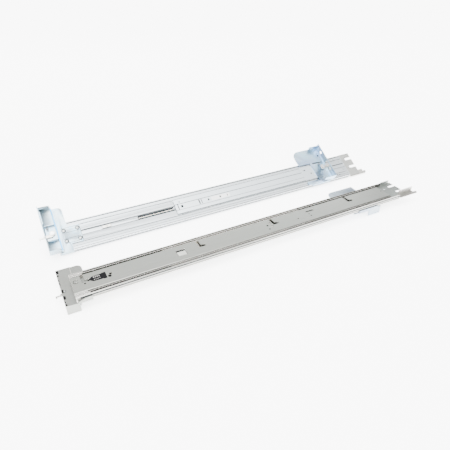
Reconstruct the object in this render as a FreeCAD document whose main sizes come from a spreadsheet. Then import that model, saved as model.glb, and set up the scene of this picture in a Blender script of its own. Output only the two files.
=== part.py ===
"""Sliding server rail pair: two handed three-member telescopic rails, as a parametric FreeCAD document.

Every rail is drawn in its own frame: x runs from the front flange to the rear, y up the rail's height,
and z towards the server (inboard), with z = 0 on the outboard face of the outer member. The left rail
lies on its flanges with its inboard face up. The right rail is its mirror twin, outboard face up.
"""
import FreeCAD, Part
import os
import re

doc = FreeCAD.newDocument("ServerRailPair")
sheet = doc.addObject("Spreadsheet::Sheet", "Sizes")

SIZES = {
    # how far a cutting tool passes a face, and how far joined blocks overlap
    "over": 1.0,
    # the telescopic body
    "body_height": 54.0, "body_depth": 10.0, "body_front": 15.5,
    "outer_length": 628.0, "slide_short": 19.5,
    "outer_sheet": 1.2, "middle_sheet": 1.0, "inner_sheet": 1.2,
    "large_ball": 3.2, "small_ball": 2.8, "ball_play": 0.05,
    "cage_sheet": 0.4, "cage_start": 160.0, "cage_length": 270.0, "cage_gap": 0.3,
    "ball_pitch": 34.0, "ball_inset": 16.0, "pocket_play": 0.2, "face_step": 0.2, "inner_lip": 3.8,
    # the groove in the outer member that guides the rear extension
    "groove_height": 28.0, "groove_width": 8.6, "groove_depth": 1.5,
    "relief_start": 158.0, "relief_length": 68.0, "relief_width": 3.0,
    # slots, holes and windows in the inner member
    "slot_width": 5.0, "slot_floor": 26.5, "slot_foot": 7.0,
    "slot_one": 29.5, "slot_two": 217.0, "slot_three": 361.0, "slot_four": 533.0,
    "sight_place": 72.0, "sight_height": 29.0, "sight_radius": 2.2,
    "window_start": 178.0, "window_length": 15.5, "window_floor": 19.5, "window_height": 14.5,
    "gauge_place": 357.0, "gauge_side": 3.6, "gauge_low": 24.5, "gauge_high": 33.5,
    "oval_start": 438.0, "oval_floor": 33.0, "oval_length": 15.0, "oval_width": 3.0,
    # small holes in the middle and the outer member
    "hole_share": 0.12, "corner_hole_inset": 27.0, "corner_hole_height": 8.1,
    "lance_radius": 4.2, "lance_slit": 1.3,
    # front bracket
    "flange_height": 87.0, "flange_reach": 17.0, "bracket_sheet": 1.5, "box_length": 21.5,
    "box_step": 1.4, "box_wall": 4.0, "tab_length": 16.5, "tab_drop": 3.0, "tab_radius": 8.0,
    "tongue_length": 19.0, "tongue_floor": 12.0, "tongue_width": 33.0, "cap_reach": 9.0,
    "wrap_gap": 0.3, "wrap_reach": 6.0, "wrap_inset": 2.0, "box_trim": 2.0,
    "screw_radius": 3.5, "front_upper_screw": 82.55, "lower_screw": 22.225, "rear_upper_screw": 66.675,
    "screw_line": 10.0, "gate_floor": 27.0, "gate_height": 21.0,
    "rivet_radius": 1.9, "rivet_head": 3.0, "rivet_upset": 2.7, "rivet_rise": 1.0, "rivet_play": 0.05,
    "rivet_front": 31.0, "rivet_spacing": 22.5, "rivet_low": 18.2, "rivet_high": 38.4,
    # front hook and its housing
    "hook_pivot_x": 12.5, "hook_pivot_y": 36.5, "pivot_radius": 2.0, "pivot_play": 0.05,
    "hook_sheet": 1.5, "hook_reach": 9.0, "hook_width": 4.0, "housing_sheet": 1.0, "housing_rise": 6.0,
    "housing_inset": 3.0, "housing_margin": 4.0, "boss_radius": 4.6, "boss_step": 1.0,
    "washer_rise": 1.0, "washer_step": 1.2, "head_step": 1.4, "turn_play": 0.2,
    "hook_root": 2.0, "hook_bar": 5.0, "hook_nose": 2.4, "barb_drop": 2.0, "barb_height": 3.0,
    # end stops
    "stop_length": 21.0, "stop_rise": 0.4, "stop_play": 0.25, "stop_trim": 3.0,
    # rear extension and rear bracket
    "extension_start": 230.0, "extension_length": 358.0, "extension_floor": 13.0, "extension_width": 32.0,
    "extension_sheet": 1.4, "slide_play": 0.2, "key_inset": 10.0, "pin_hole_height": 37.5,
    "pin_hole_front": 12.0, "pin_hole_rear": 7.0, "pin_hole_radius": 1.6,
    "flange_overrun": 6.0, "rear_height": 85.0, "rear_tab_reach": 67.0, "rear_box_reach": 37.0,
    "rear_tab_floor": 50.0, "rear_tab_radius": 14.0, "rear_strip": 8.0,
    "rear_latch_inset": 12.0, "rear_latch_y": 34.0, "rear_gate_floor": 28.0, "rear_gate_height": 14.0,
    "slit_inset": 5.0, "slit_drop": 4.0, "slit_length": 25.0, "slit_width": 3.5, "rear_floor_inset": 8.0,
    "rear_cap_inset": 14.0, "rear_wrap_inset": 10.0, "rear_lip_inset": 12.0, "latch_reach": 5.0,
    # cable arm bracket and arm
    "cable_gap": 4.0, "cable_reach": 28.5, "cable_sheet": 1.2, "cable_overrun": 0.5,
    "fork_depth": 14.0, "fork_width": 6.0, "fork_low": 21.0, "fork_high": 42.0,
    "cable_rivet_near": 4.0, "cable_rivet_far": 13.0, "cable_rivet_high": 38.9, "cable_rivet_low": 17.8,
    "end_gap": 1.0, "rim_trim": 4.0,
    "arm_overhang": 20.0, "arm_height": 12.0, "arm_drop": 3.0, "arm_ledge": 10.5, "arm_tip": 7.0,
    "arm_gap": 1.5, "arm_inset": 4.0, "ledge_trim": 8.0, "arm_radius": 4.8, "arm_tip_drop": 5.4,
    # lock lever and release tab
    "lever_pivot_x": 22.5, "lever_pivot_y": 33.0, "lever_sheet": 1.5, "lever_length": 19.0,
    "lever_width": 13.0, "lever_pin": 1.5, "lever_gap": 0.4, "lever_root": 3.0, "lever_foot": 0.6,
    "foot_step": 0.8, "tab_play": 0.8, "tab_thick": 2.2, "tab_rise": 10.0,
    "grip_start": 3.9, "grip_pitch": 3.1, "grip_width": 1.2, "grip_depth": 0.6,
    # printed arrow on the inner member
    "arrow_start": 39.0, "arrow_length": 27.0, "arrow_width": 15.0, "arrow_film": 0.15,
    # how the two rails lie
    "right_lean": 31.0, "right_setback": 138.0,
}

# Lengths and places along the rail that follow from the sizes above.
DERIVED = {
    "slide_length": "=outer_length - slide_short",
    "cable_end": "=body_front + outer_length + cable_reach",
    "rear_flange_x": "=extension_start + extension_length + flange_overrun",
    "rear_tab_start": "=rear_flange_x - rear_tab_reach",
    "rear_box_start": "=rear_flange_x - rear_box_reach",
    "rear_latch_x": "=rear_flange_x - rear_latch_inset",
}

for row, (alias, value) in enumerate({**SIZES, **DERIVED}.items(), start=1):
    sheet.set("A%d" % row, alias)
    sheet.set("B%d" % row, str(value))
    sheet.setAlias("B%d" % row, alias)
doc.recompute()


KNOWN = {*SIZES, *DERIVED}


def cells(text):
    """Turns an expression in size names into one that reads the spreadsheet."""
    return re.sub(r"[a-z][a-z_]+", lambda m: "Sizes." + m.group() if m.group() in KNOWN else m.group(), text)


def bind(item, **expressions):
    """Binds properties of a document object to spreadsheet expressions."""
    for prop, text in expressions.items():
        item.setExpression(prop.replace("__", "."), cells(text))


class Rail:
    """Shapes and sub-parts of one rail; hand is +1 for the left rail and -1 for its mirror twin."""

    def __init__(self, side, hand):
        self.side = side
        self.hand = hand
        self.count = 0

    def _new(self, kind, tag):
        self.count += 1
        return doc.addObject(kind, "%s_%s_%d" % (self.side, tag, self.count))

    def _low(self, z, depth):
        """The z of a shape's lower face, mirrored for the right rail."""
        if self.hand > 0:
            return z
        return "-(%s) - (%s)" % (z, depth)

    def _mid(self, z):
        """The z of a centre, mirrored for the right rail."""
        return z if self.hand > 0 else "-(%s)" % z

    def box(self, x, y, z, length, width, height):
        """A block from its lowest corner and its three sides, each an expression."""
        item = self._new("Part::Box", "block")
        bind(item, Length=length, Width=width, Height=height, Placement__Base__x=x,
             Placement__Base__y=y, Placement__Base__z=self._low(z, height))
        return item

    def rod_z(self, x, y, z, radius, height):
        """A round bar along z."""
        item = self._new("Part::Cylinder", "rod")
        bind(item, Radius=radius, Height=height, Placement__Base__x=x, Placement__Base__y=y,
             Placement__Base__z=self._low(z, height))
        return item

    def rod_x(self, x, y, z, radius, height):
        """A round bar along x, from x towards the rear."""
        item = self._new("Part::Cylinder", "rod")
        item.Placement = FreeCAD.Placement(FreeCAD.Vector(), FreeCAD.Rotation(FreeCAD.Vector(0, 1, 0), 90))
        bind(item, Radius=radius, Height=height, Placement__Base__x=x, Placement__Base__y=y,
             Placement__Base__z=self._mid(z))
        return item

    def rod_y(self, x, y, z, radius, height):
        """A round bar along y, from y upwards."""
        item = self._new("Part::Cylinder", "rod")
        item.Placement = FreeCAD.Placement(FreeCAD.Vector(), FreeCAD.Rotation(FreeCAD.Vector(1, 0, 0), -90))
        bind(item, Radius=radius, Height=height, Placement__Base__x=x, Placement__Base__y=y,
             Placement__Base__z=self._mid(z))
        return item

    def ball(self, x, y, z, radius):
        """A ball about its centre."""
        item = self._new("Part::Sphere", "ball")
        bind(item, Radius=radius, Placement__Base__x=x, Placement__Base__y=y,
             Placement__Base__z=self._mid(z))
        return item

    def join(self, pieces):
        """One solid from several that meet or overlap."""
        item = self._new("Part::MultiFuse", "joined")
        item.Shapes = pieces
        item.Refine = True
        return item

    def cut(self, base, tools):
        """A solid with the tools taken away."""
        tool = tools[0] if len(tools) == 1 else self.join(tools)
        item = self._new("Part::Cut", "trimmed")
        item.Base = base
        item.Tool = tool
        item.Refine = True
        return item

    def corner(self, x, y, z, radius, depth, right, top):
        """The tool that rounds one corner of a plate; x, y is the corner itself."""
        side_x = x if not right else "%s - (%s)" % (x, radius)
        side_y = y if not top else "%s - (%s)" % (y, radius)
        mid_x = "%s %s (%s)" % (x, "-" if right else "+", radius)
        mid_y = "%s %s (%s)" % (y, "-" if top else "+", radius)
        block = self.box(side_x, side_y, z + " - over", radius, radius, depth + " + 2 * over")
        return self.cut(block, [self.rod_z(mid_x, mid_y, z + " - 2 * over", radius, depth + " + 4 * over")])

    def finish(self, item, name):
        """Names a sub-part and puts it where its rail lies."""
        item.Label = "%s_%s" % (self.side, name)
        if self.hand > 0:
            place = ("-%s; -%s; flange_reach" % (CENTRE_X, CENTRE_Y), "0; 0; 0")
        else:
            place = ("-%s; right_setback - %s; body_depth * cos(right_lean * 1 deg)" % (CENTRE_X, CENTRE_Y),
                     "0; 0; right_lean")
        frame = "create(<<placement>>; create(<<vector>>; %s); create(<<rotation>>; %s))" % place
        item.setExpression("Placement", cells(frame))
        SUBPARTS.append(item)
        return item


SUBPARTS = []

# The middle of the pair's outline on the floor, from the hook and arm tips and the two rails' far edges.
CENTRE_X = "(0.5 * (cable_end + arm_overhang - hook_reach))"
CENTRE_Y = ("(0.5 * (right_setback + flange_height * cos(right_lean * 1 deg)"
            " - box_step * sin(right_lean * 1 deg) - arm_drop))")

# Heights and depths that several sub-parts share, each worked out from the sheet.
MIDDLE_LOW = "(outer_sheet + large_ball + 2 * ball_play)"
INNER_LOW = "(outer_sheet + large_ball + 2 * ball_play + middle_sheet + small_ball + 2 * ball_play)"
CAGE_BACK = "(groove_depth + outer_sheet + cage_gap)"
MIDDLE_BACK = "(groove_depth + outer_sheet + 2 * cage_gap + cage_sheet)"
INNER_CAGE_BACK = "(groove_depth + outer_sheet + 3 * cage_gap + cage_sheet + middle_sheet)"
INNER_FACE = "(body_depth - face_step)"
INNER_BACK = "(body_depth - face_step - inner_sheet)"
LARGE_BALL_Z = "(body_depth - 0.5 * large_ball - 2 * inner_sheet)"
SMALL_BALL_Z = "(body_depth - 0.5 * small_ball - inner_sheet)"
GROOVE_LOW = "(groove_height - 0.5 * groove_width)"
BOX_BACK = "(-(bracket_sheet + box_step))"
TAB_END = "(box_length + tab_length)"
OUTER_END = "(body_front + outer_length)"
REAR_PLATE = "(-(slide_play + extension_sheet))"
REAR_BACK = "(-(slide_play + extension_sheet + bracket_sheet))"
CABLE_BACK = "(groove_depth + outer_sheet)"
REAR_WRAP = "(slide_play + extension_sheet + bracket_sheet + groove_depth + outer_sheet - wrap_gap)"
CABLE_START = "(body_front + slide_length + cable_gap)"
CAGE_FACE = "(body_depth - inner_sheet)"
STOP_BACK = "(body_depth - inner_sheet + cage_gap)"
SCREW_Z = "(-screw_line)"
HOOK_BACK = "(-(bracket_sheet + box_step + housing_sheet + washer_rise + hook_sheet))"
REAR_HOOK_BACK = "(-(slide_play + extension_sheet + bracket_sheet + washer_rise + hook_sheet))"

# Counts, and the places along a rail where rows of slots and rivets stand.
BALLS = 8
GRIPS = 3
SLOTS = ("slot_one", "slot_two", "slot_three", "slot_four")
BRACKET_RIVETS = [("rivet_front + %s" % step, height) for step in ("0", "rivet_spacing")
                  for height in ("rivet_low", "rivet_high")]
CABLE_RIVETS = [(CABLE_START + " + cable_rivet_near", "cable_rivet_high"),
                (CABLE_START + " + cable_rivet_far", "cable_rivet_high"),
                (CABLE_START + " + cable_rivet_near", "cable_rivet_low")]


def channel(rail, low, back, sheet_name, front_z, length):
    """A C channel open towards the server: web at the back, lips above and below."""
    body = rail.box("body_front", low, back, length, "body_height - 2 * %s" % low,
                    "%s - %s" % (front_z, back))
    hollow = rail.box("body_front - over", "%s + %s" % (low, sheet_name), "%s + %s" % (back, sheet_name),
                      "%s + 2 * over" % length, "body_height - 2 * %s - 2 * %s" % (low, sheet_name),
                      "%s - %s" % (front_z, back))
    return body, hollow


def outer_member(rail):
    """The fixed channel, with the embossed groove that guides the rear extension."""
    body, hollow = channel(rail, "0", "0", "outer_sheet", "body_depth", "outer_length")
    shell = rail.cut(body, [hollow])
    emboss = rail.box("body_front", GROOVE_LOW + " - outer_sheet", "0", "outer_length",
                      "groove_width + 2 * outer_sheet", "groove_depth + outer_sheet")
    groove = rail.box("body_front - over", GROOVE_LOW, "-over", "outer_length + 2 * over", "groove_width",
                      "groove_depth + over")
    relief = rail.box("relief_start", "groove_height - 0.5 * relief_width", "0", "relief_length",
                      "relief_width", CAGE_BACK)
    tools = [groove, relief]
    for place, height in BRACKET_RIVETS + CABLE_RIVETS:
        tools.append(rail.rod_z(place, height, "-over", "rivet_radius + rivet_play",
                                "outer_sheet + 2 * over"))
    for height in ("corner_hole_height", "body_height - corner_hole_height"):
        tools.append(rail.rod_z(OUTER_END + " - corner_hole_inset", height, "-over", "rivet_radius",
                                "outer_sheet + 2 * over"))
    rail.finish(rail.cut(rail.join([shell, emboss]), tools), "outer_member")


def middle_member(rail):
    """The middle channel, which runs on the large balls."""
    body, hollow = channel(rail, MIDDLE_LOW, MIDDLE_BACK, "middle_sheet", "(body_depth - 0.5 * face_step)",
                           "slide_length")
    holes = [rail.rod_z("body_front + %s * slide_length" % share, "0.5 * body_height",
                        MIDDLE_BACK + " - over", "sight_radius", "middle_sheet + 2 * over")
             for share in ("hole_share", "(1 - hole_share)")]
    rail.finish(rail.cut(body, [hollow] + holes), "middle_member")


def inner_member(rail):
    """The inner channel whose wide web carries the server on four J-shaped slots."""
    body = rail.box("body_front", INNER_LOW, INNER_FACE + " - inner_lip", "slide_length",
                    "body_height - 2 * %s" % INNER_LOW, "inner_lip")
    deep = INNER_FACE + " - inner_lip - over"
    through = "inner_lip + 2 * over"
    hollow = rail.box("body_front - over", INNER_LOW + " + inner_sheet", deep, "slide_length + 2 * over",
                      "body_height - 2 * %s - 2 * inner_sheet" % INNER_LOW, "inner_lip + over - inner_sheet")
    web_low = INNER_BACK + " - over"
    web_deep = "inner_sheet + 2 * over"
    tools = [hollow]
    for place in SLOTS:
        tools.append(rail.box(place, "slot_floor", deep, "slot_width", "body_height", through))
        tools.append(rail.box(place, "slot_floor", web_low, "slot_foot + 0.5 * slot_width", "slot_width",
                              web_deep))
        tools.append(rail.rod_z("%s + slot_foot + 0.5 * slot_width" % place, "slot_floor + 0.5 * slot_width",
                                web_low, "0.5 * slot_width", web_deep))
    tools.append(rail.rod_z("sight_place", "sight_height", web_low, "sight_radius", web_deep))
    tools.append(rail.box("window_start", "window_floor", web_low, "window_length", "window_height",
                          web_deep))
    for height in ("gauge_low", "gauge_high"):
        tools.append(rail.box("gauge_place - 0.5 * gauge_side", height + " - 0.5 * gauge_side", web_low,
                              "gauge_side", "gauge_side", web_deep))
    tools.append(rail.box("oval_start", "oval_floor", web_low, "oval_length", "oval_width", web_deep))
    for end in ("oval_start", "oval_start + oval_length"):
        tools.append(rail.rod_z(end, "oval_floor + 0.5 * oval_width", web_low, "0.5 * oval_width", web_deep))
    core = rail.rod_z("lever_pivot_x", "lever_pivot_y", web_low + " - over", "lance_radius - lance_slit",
                      web_deep + " + 2 * over")
    bridge = rail.box("lever_pivot_x", "lever_pivot_y - 0.5 * lance_radius", web_low + " - over",
                      "2 * lance_radius", "lance_radius", web_deep + " + 2 * over")
    ring = rail.cut(rail.rod_z("lever_pivot_x", "lever_pivot_y", web_low, "lance_radius", web_deep),
                    [core, bridge])
    tools.append(ring)
    rail.finish(rail.cut(body, tools), "inner_member")


def cage(rail, name, lip_low, back, sheet_depth, ball_size, ball_z, front_z):
    """A ball cage: a thin channel whose two arms hold the balls, and the balls themselves."""
    ball_y = "(%s + ball_play + 0.5 * %s)" % (lip_low, ball_size)
    arm_low = "(%s - 0.5 * cage_sheet)" % ball_y
    body = rail.box("cage_start", arm_low, back, "cage_length", "body_height - 2 * %s" % arm_low,
                    "%s - %s" % (front_z, back))
    hollow = rail.box("cage_start - over", arm_low + " + cage_sheet", "%s + cage_sheet" % back,
                      "cage_length + 2 * over", "body_height - 2 * %s - 2 * cage_sheet" % arm_low,
                      sheet_depth)
    rim_low = "(%s + cage_gap)" % lip_low
    rim_width = "(%s + 2 * ball_play - 2 * cage_gap)" % ball_size
    rims = [rail.box("cage_start", low, "%s - cage_sheet" % front_z, "cage_length", rim_width, "cage_sheet")
            for low in (rim_low, "(body_height - %s - %s)" % (rim_low, rim_width))]
    balls = []
    pockets = []
    for number in range(BALLS):
        place = "cage_start + ball_inset + %d * ball_pitch" % number
        pockets.append(rail.rod_y(place, "-over", ball_z, "0.5 * %s + pocket_play" % ball_size,
                                  "body_height + 2 * over"))
        for height in (ball_y, "(body_height - %s)" % ball_y):
            balls.append(rail.ball(place, height, ball_z, "0.5 * %s" % ball_size))
    shell = rail.join([rail.cut(body, [hollow])] + rims)
    rail.finish(rail.cut(shell, pockets), name + "_cage")
    group = rail._new("Part::Compound", "balls")
    group.Links = balls
    rail.finish(group, name + "_balls")


def front_bracket(rail):
    """The front flange with its box, the tab above the body and the tongue riveted to the outer member."""
    flange = rail.box("0", "0", "-flange_reach", "bracket_sheet", "flange_height",
                      "flange_reach + %s + bracket_sheet" % BOX_BACK)
    plate = rail.box("0", "0", BOX_BACK, "box_length", "flange_height", "bracket_sheet")
    floor = rail.box("0", "0", "-flange_reach", "box_length - box_trim", "bracket_sheet",
                     "flange_reach + %s + bracket_sheet" % BOX_BACK)
    cap = rail.box("0", "flange_height - bracket_sheet", BOX_BACK + " - cap_reach", "box_length - box_trim",
                   "bracket_sheet", "cap_reach + bracket_sheet")
    wall = rail.box("box_length - bracket_sheet", "0", BOX_BACK + " - box_wall", "bracket_sheet",
                    "flange_height", "box_wall + bracket_sheet")
    tab = rail.cut(rail.box("box_length - bracket_sheet", "0", "-bracket_sheet",
                            "tab_length + bracket_sheet", "flange_height - tab_drop", "bracket_sheet"),
                   [rail.corner(TAB_END, "(flange_height - tab_drop)", "-bracket_sheet", "tab_radius",
                                "bracket_sheet", True, True)])
    tongue = rail.box(TAB_END + " - over", "tongue_floor", "-bracket_sheet", "tongue_length + over",
                      "tongue_width", "bracket_sheet")
    wrap_wall = rail.box("body_front + wrap_inset", "-(wrap_gap + bracket_sheet)", "-bracket_sheet",
                         "%s - body_front - wrap_inset" % TAB_END, "bracket_sheet",
                         "bracket_sheet + wrap_reach")
    wrap_root = rail.box("box_length + wrap_inset", "-(wrap_gap + bracket_sheet)", "-bracket_sheet",
                         "tab_length - wrap_inset", "wrap_gap + 2 * bracket_sheet", "bracket_sheet")
    tools = []
    for height in ("front_upper_screw", "lower_screw"):
        tools.append(rail.rod_x("-over", height, SCREW_Z, "screw_radius", "bracket_sheet + 2 * over"))
    tools.append(rail.box("-over", "gate_floor", "-(flange_reach - bracket_sheet)",
                          "bracket_sheet + 2 * over", "gate_height",
                          "flange_reach - bracket_sheet - box_step - 2 * bracket_sheet"))
    for place, height in BRACKET_RIVETS:
        tools.append(rail.rod_z(place, height, "-(bracket_sheet + over)", "rivet_radius + rivet_play",
                                "bracket_sheet + 2 * over"))
    solid = rail.join([flange, plate, floor, cap, wall, tab, tongue, wrap_wall, wrap_root])
    rail.finish(rail.cut(solid, tools), "front_bracket")


def latch_housing(rail):
    """The small folded carrier that stiffens the bracket round the hook."""
    length = "box_length - housing_inset - box_trim"
    base = rail.box("housing_inset", "gate_floor - housing_margin", BOX_BACK + " - housing_sheet", length,
                    "gate_height + 2 * housing_margin", "housing_sheet")
    top = "gate_floor + gate_height + housing_margin - housing_sheet"
    walls = [rail.box("housing_inset", low, BOX_BACK + " - housing_rise", length, "housing_sheet",
                      "housing_rise") for low in ("gate_floor - housing_margin", top)]
    rail.finish(rail.join([base] + walls), "latch_housing")


def pivot_pin(rail, name, x, y, seat):
    """A pin that points outboard from its seat: a spacer, the shank that the hook turns on, and a head."""
    length = "(2 * washer_rise + hook_sheet + turn_play)"
    spacer = rail.rod_z(x, y, seat + " - washer_rise", "pivot_radius + washer_step", "washer_rise")
    shank = rail.rod_z(x, y, seat + " - " + length, "pivot_radius", length)
    head = rail.rod_z(x, y, seat + " - " + length, "pivot_radius + head_step", "washer_rise")
    rail.finish(rail.join([spacer, shank, head]), name)


def front_hook(rail):
    """The sprung hook that reaches through the flange and grips the rack post."""
    low = "hook_pivot_y - 0.5 * boss_radius - hook_width"
    arm = rail.box("-hook_root", low, HOOK_BACK, "hook_pivot_x + hook_root", "hook_bar", "hook_sheet")
    boss = rail.rod_z("hook_pivot_x", "hook_pivot_y", HOOK_BACK, "boss_radius", "hook_sheet")
    nose = rail.box("-hook_reach", low, HOOK_BACK, "hook_reach", "hook_nose", "hook_sheet")
    barb = rail.box("-hook_reach", low + " - barb_drop", HOOK_BACK, "0.5 * hook_width", "barb_height",
                    "hook_sheet")
    hole = rail.rod_z("hook_pivot_x", "hook_pivot_y", HOOK_BACK + " - over", "pivot_radius + pivot_play",
                      "hook_sheet + 2 * over")
    rail.finish(rail.cut(rail.join([arm, boss, nose, barb]), [hole]), "front_hook")
    pivot_pin(rail, "hook_pivot", "hook_pivot_x", "hook_pivot_y", "(%s - housing_sheet)" % BOX_BACK)


def bracket_rivets(rail):
    """Four rivets through the tongue and the outer member's web."""
    rivets = []
    for place, height in BRACKET_RIVETS:
        shank = rail.rod_z(place, height, "-(bracket_sheet + rivet_rise)", "rivet_radius",
                           "bracket_sheet + 2 * rivet_rise + outer_sheet")
        head = rail.rod_z(place, height, "-(bracket_sheet + rivet_rise)", "rivet_head", "rivet_rise")
        upset = rail.rod_z(place, height, "outer_sheet", "rivet_upset", "rivet_rise")
        rivets.append(rail.join([shank, head, upset]))
    group = rail._new("Part::Compound", "rivets")
    group.Links = rivets
    rail.finish(group, "bracket_rivets")


def stops(rail):
    """End stops in the running gaps at the front of the outer and the middle member."""
    outer_width = "(large_ball + 2 * ball_play - stop_play)"
    outer_set = [rail.box("body_front", low, STOP_BACK, "stop_length", outer_width,
                          "body_depth + stop_rise - %s" % STOP_BACK)
                 for low in ("outer_sheet", "body_height - outer_sheet - %s" % outer_width)]
    group = rail._new("Part::Compound", "stops")
    group.Links = outer_set
    rail.finish(group, "front_stops")
    lip = "(%s + middle_sheet)" % MIDDLE_LOW
    inner_width = "(small_ball + 2 * ball_play - stop_play)"
    inner_set = [rail.box("body_front", low, STOP_BACK, "stop_length - stop_trim", inner_width,
                          "body_depth - %s" % STOP_BACK)
                 for low in (lip, "body_height - %s - %s" % (lip, inner_width))]
    pair = rail._new("Part::Compound", "stops")
    pair.Links = inner_set
    rail.finish(pair, "middle_stops")


def rear_extension(rail):
    """The flat channel that slides on the outer member and carries the rear bracket."""
    plate = rail.box("extension_start", "extension_floor", REAR_PLATE, "extension_length", "extension_width",
                     "extension_sheet")
    key = rail.box("extension_start + key_inset", GROOVE_LOW + " + 2 * slide_play",
                   "-slide_play - 0.5 * extension_sheet", "extension_length - 2 * key_inset",
                   "groove_width - 4 * slide_play", "groove_depth + 0.5 * extension_sheet")
    holes = [rail.rod_z(place, "pin_hole_height", REAR_PLATE + " - over", "pin_hole_radius",
                        "extension_sheet + 2 * over")
             for place in ("rear_tab_start + pin_hole_rear", "extension_start + pin_hole_front")]
    rail.finish(rail.cut(rail.join([plate, key]), holes), "rear_extension")


def rear_bracket(rail):
    """The rear flange with its box, its tall tab, and walls that wrap the outer member."""
    reach = "flange_reach - (slide_play + extension_sheet)"
    plate = rail.box("rear_tab_start", "0", REAR_BACK, "rear_flange_x - rear_tab_start", "rear_height",
                     "bracket_sheet")
    notch = rail.box("rear_tab_start - over", "rear_strip", REAR_BACK + " - over",
                     "rear_box_start - rear_tab_start + over", "rear_tab_floor - rear_strip",
                     "bracket_sheet + 2 * over")
    rounding = rail.corner("rear_tab_start", "rear_height", REAR_BACK, "rear_tab_radius", "bracket_sheet",
                           False, True)
    slit = rail.box("rear_box_start + slit_inset", "rear_tab_floor - slit_drop", REAR_BACK + " - over",
                    "slit_length", "slit_width", "bracket_sheet + 2 * over")
    flange = rail.box("rear_flange_x - bracket_sheet", "0", "-flange_reach", "bracket_sheet",
                      "rear_height", reach)
    floor = rail.box("rear_box_start + rear_floor_inset", "0", "-flange_reach",
                     "rear_flange_x - rear_box_start - rear_floor_inset", "bracket_sheet", reach)
    cap = rail.box("rear_box_start + rear_cap_inset", "rear_height - bracket_sheet",
                   REAR_BACK + " - cap_reach", "rear_flange_x - rear_box_start - rear_cap_inset",
                   "bracket_sheet", "cap_reach + bracket_sheet")
    wrap_length = "rear_flange_x - rear_tab_start - 2 * rear_wrap_inset"
    wrap_low = rail.box("rear_tab_start + rear_wrap_inset", "-(wrap_gap + bracket_sheet)", REAR_BACK,
                        wrap_length, "bracket_sheet", REAR_WRAP)
    wrap_foot = rail.box("rear_tab_start + rear_wrap_inset", "-(wrap_gap + bracket_sheet)", REAR_BACK,
                         wrap_length, "wrap_gap + 2 * bracket_sheet", "bracket_sheet")
    wrap_top = rail.box("rear_tab_start + rear_lip_inset", "body_height + wrap_gap", REAR_BACK,
                        "rear_flange_x - rear_tab_start - 2 * rear_lip_inset", "bracket_sheet", REAR_WRAP)
    tools = [notch, rounding, slit]
    for height in ("rear_upper_screw", "lower_screw"):
        tools.append(rail.rod_x("rear_flange_x - bracket_sheet - over", height, SCREW_Z, "screw_radius",
                                "bracket_sheet + 2 * over"))
    tools.append(rail.box("rear_flange_x - bracket_sheet - over", "rear_gate_floor",
                          "-(flange_reach - bracket_sheet)", "bracket_sheet + 2 * over", "rear_gate_height",
                          "flange_reach - bracket_sheet + %s - bracket_sheet" % REAR_PLATE))
    solid = rail.join([plate, flange, floor, cap, wrap_low, wrap_foot, wrap_top])
    rail.finish(rail.cut(solid, tools), "rear_bracket")


def rear_latch(rail):
    """The rear latch, whose nose passes through the rear flange."""
    boss = rail.rod_z("rear_latch_x", "rear_latch_y", REAR_HOOK_BACK, "boss_radius + boss_step", "hook_sheet")
    arm = rail.box("rear_latch_x", "rear_latch_y - 0.5 * hook_width", REAR_HOOK_BACK,
                   "rear_flange_x + latch_reach - rear_latch_x", "hook_width", "hook_sheet")
    barb = rail.box("rear_flange_x + latch_reach - barb_drop", "rear_latch_y - 0.5 * hook_width - barb_drop",
                    REAR_HOOK_BACK, "barb_drop", "hook_width", "hook_sheet")
    hole = rail.rod_z("rear_latch_x", "rear_latch_y", REAR_HOOK_BACK + " - over", "pivot_radius + pivot_play",
                      "hook_sheet + 2 * over")
    rail.finish(rail.cut(rail.join([boss, arm, barb]), [hole]), "rear_latch")
    pivot_pin(rail, "latch_pivot", "rear_latch_x", "rear_latch_y", REAR_BACK)


def cable_bracket(rail):
    """The slotted plate at the rear end, riveted behind the outer member's web."""
    tail = rail.box(CABLE_START, "outer_sheet + slide_play", CABLE_BACK, "cable_end - %s" % CABLE_START,
                    "body_height - 2 * outer_sheet - 2 * slide_play", "cable_sheet")
    wide = rail.box(OUTER_END + " + end_gap", "-cable_overrun", CABLE_BACK,
                    "cable_end - %s - end_gap" % OUTER_END, "body_height + 2 * cable_overrun + over",
                    "cable_sheet")
    rim = rail.box(OUTER_END + " + end_gap", "body_height + cable_overrun", CABLE_BACK,
                   "cable_end - %s - end_gap - rim_trim" % OUTER_END, "cable_sheet",
                   "body_depth - %s" % CABLE_BACK)
    tools = []
    for height in ("fork_low", "fork_high"):
        tools.append(rail.box("cable_end - fork_depth", height + " - 0.5 * fork_width",
                              CABLE_BACK + " - over", "fork_depth + over", "fork_width",
                              "cable_sheet + 2 * over"))
        tools.append(rail.rod_z("cable_end - fork_depth", height, CABLE_BACK + " - over", "0.5 * fork_width",
                                "cable_sheet + 2 * over"))
    for place, height in CABLE_RIVETS:
        tools.append(rail.rod_z(place, height, CABLE_BACK + " - over", "rivet_radius + rivet_play",
                                "cable_sheet + 2 * over"))
    rail.finish(rail.cut(rail.join([tail, wide, rim]), tools), "cable_bracket")


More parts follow.
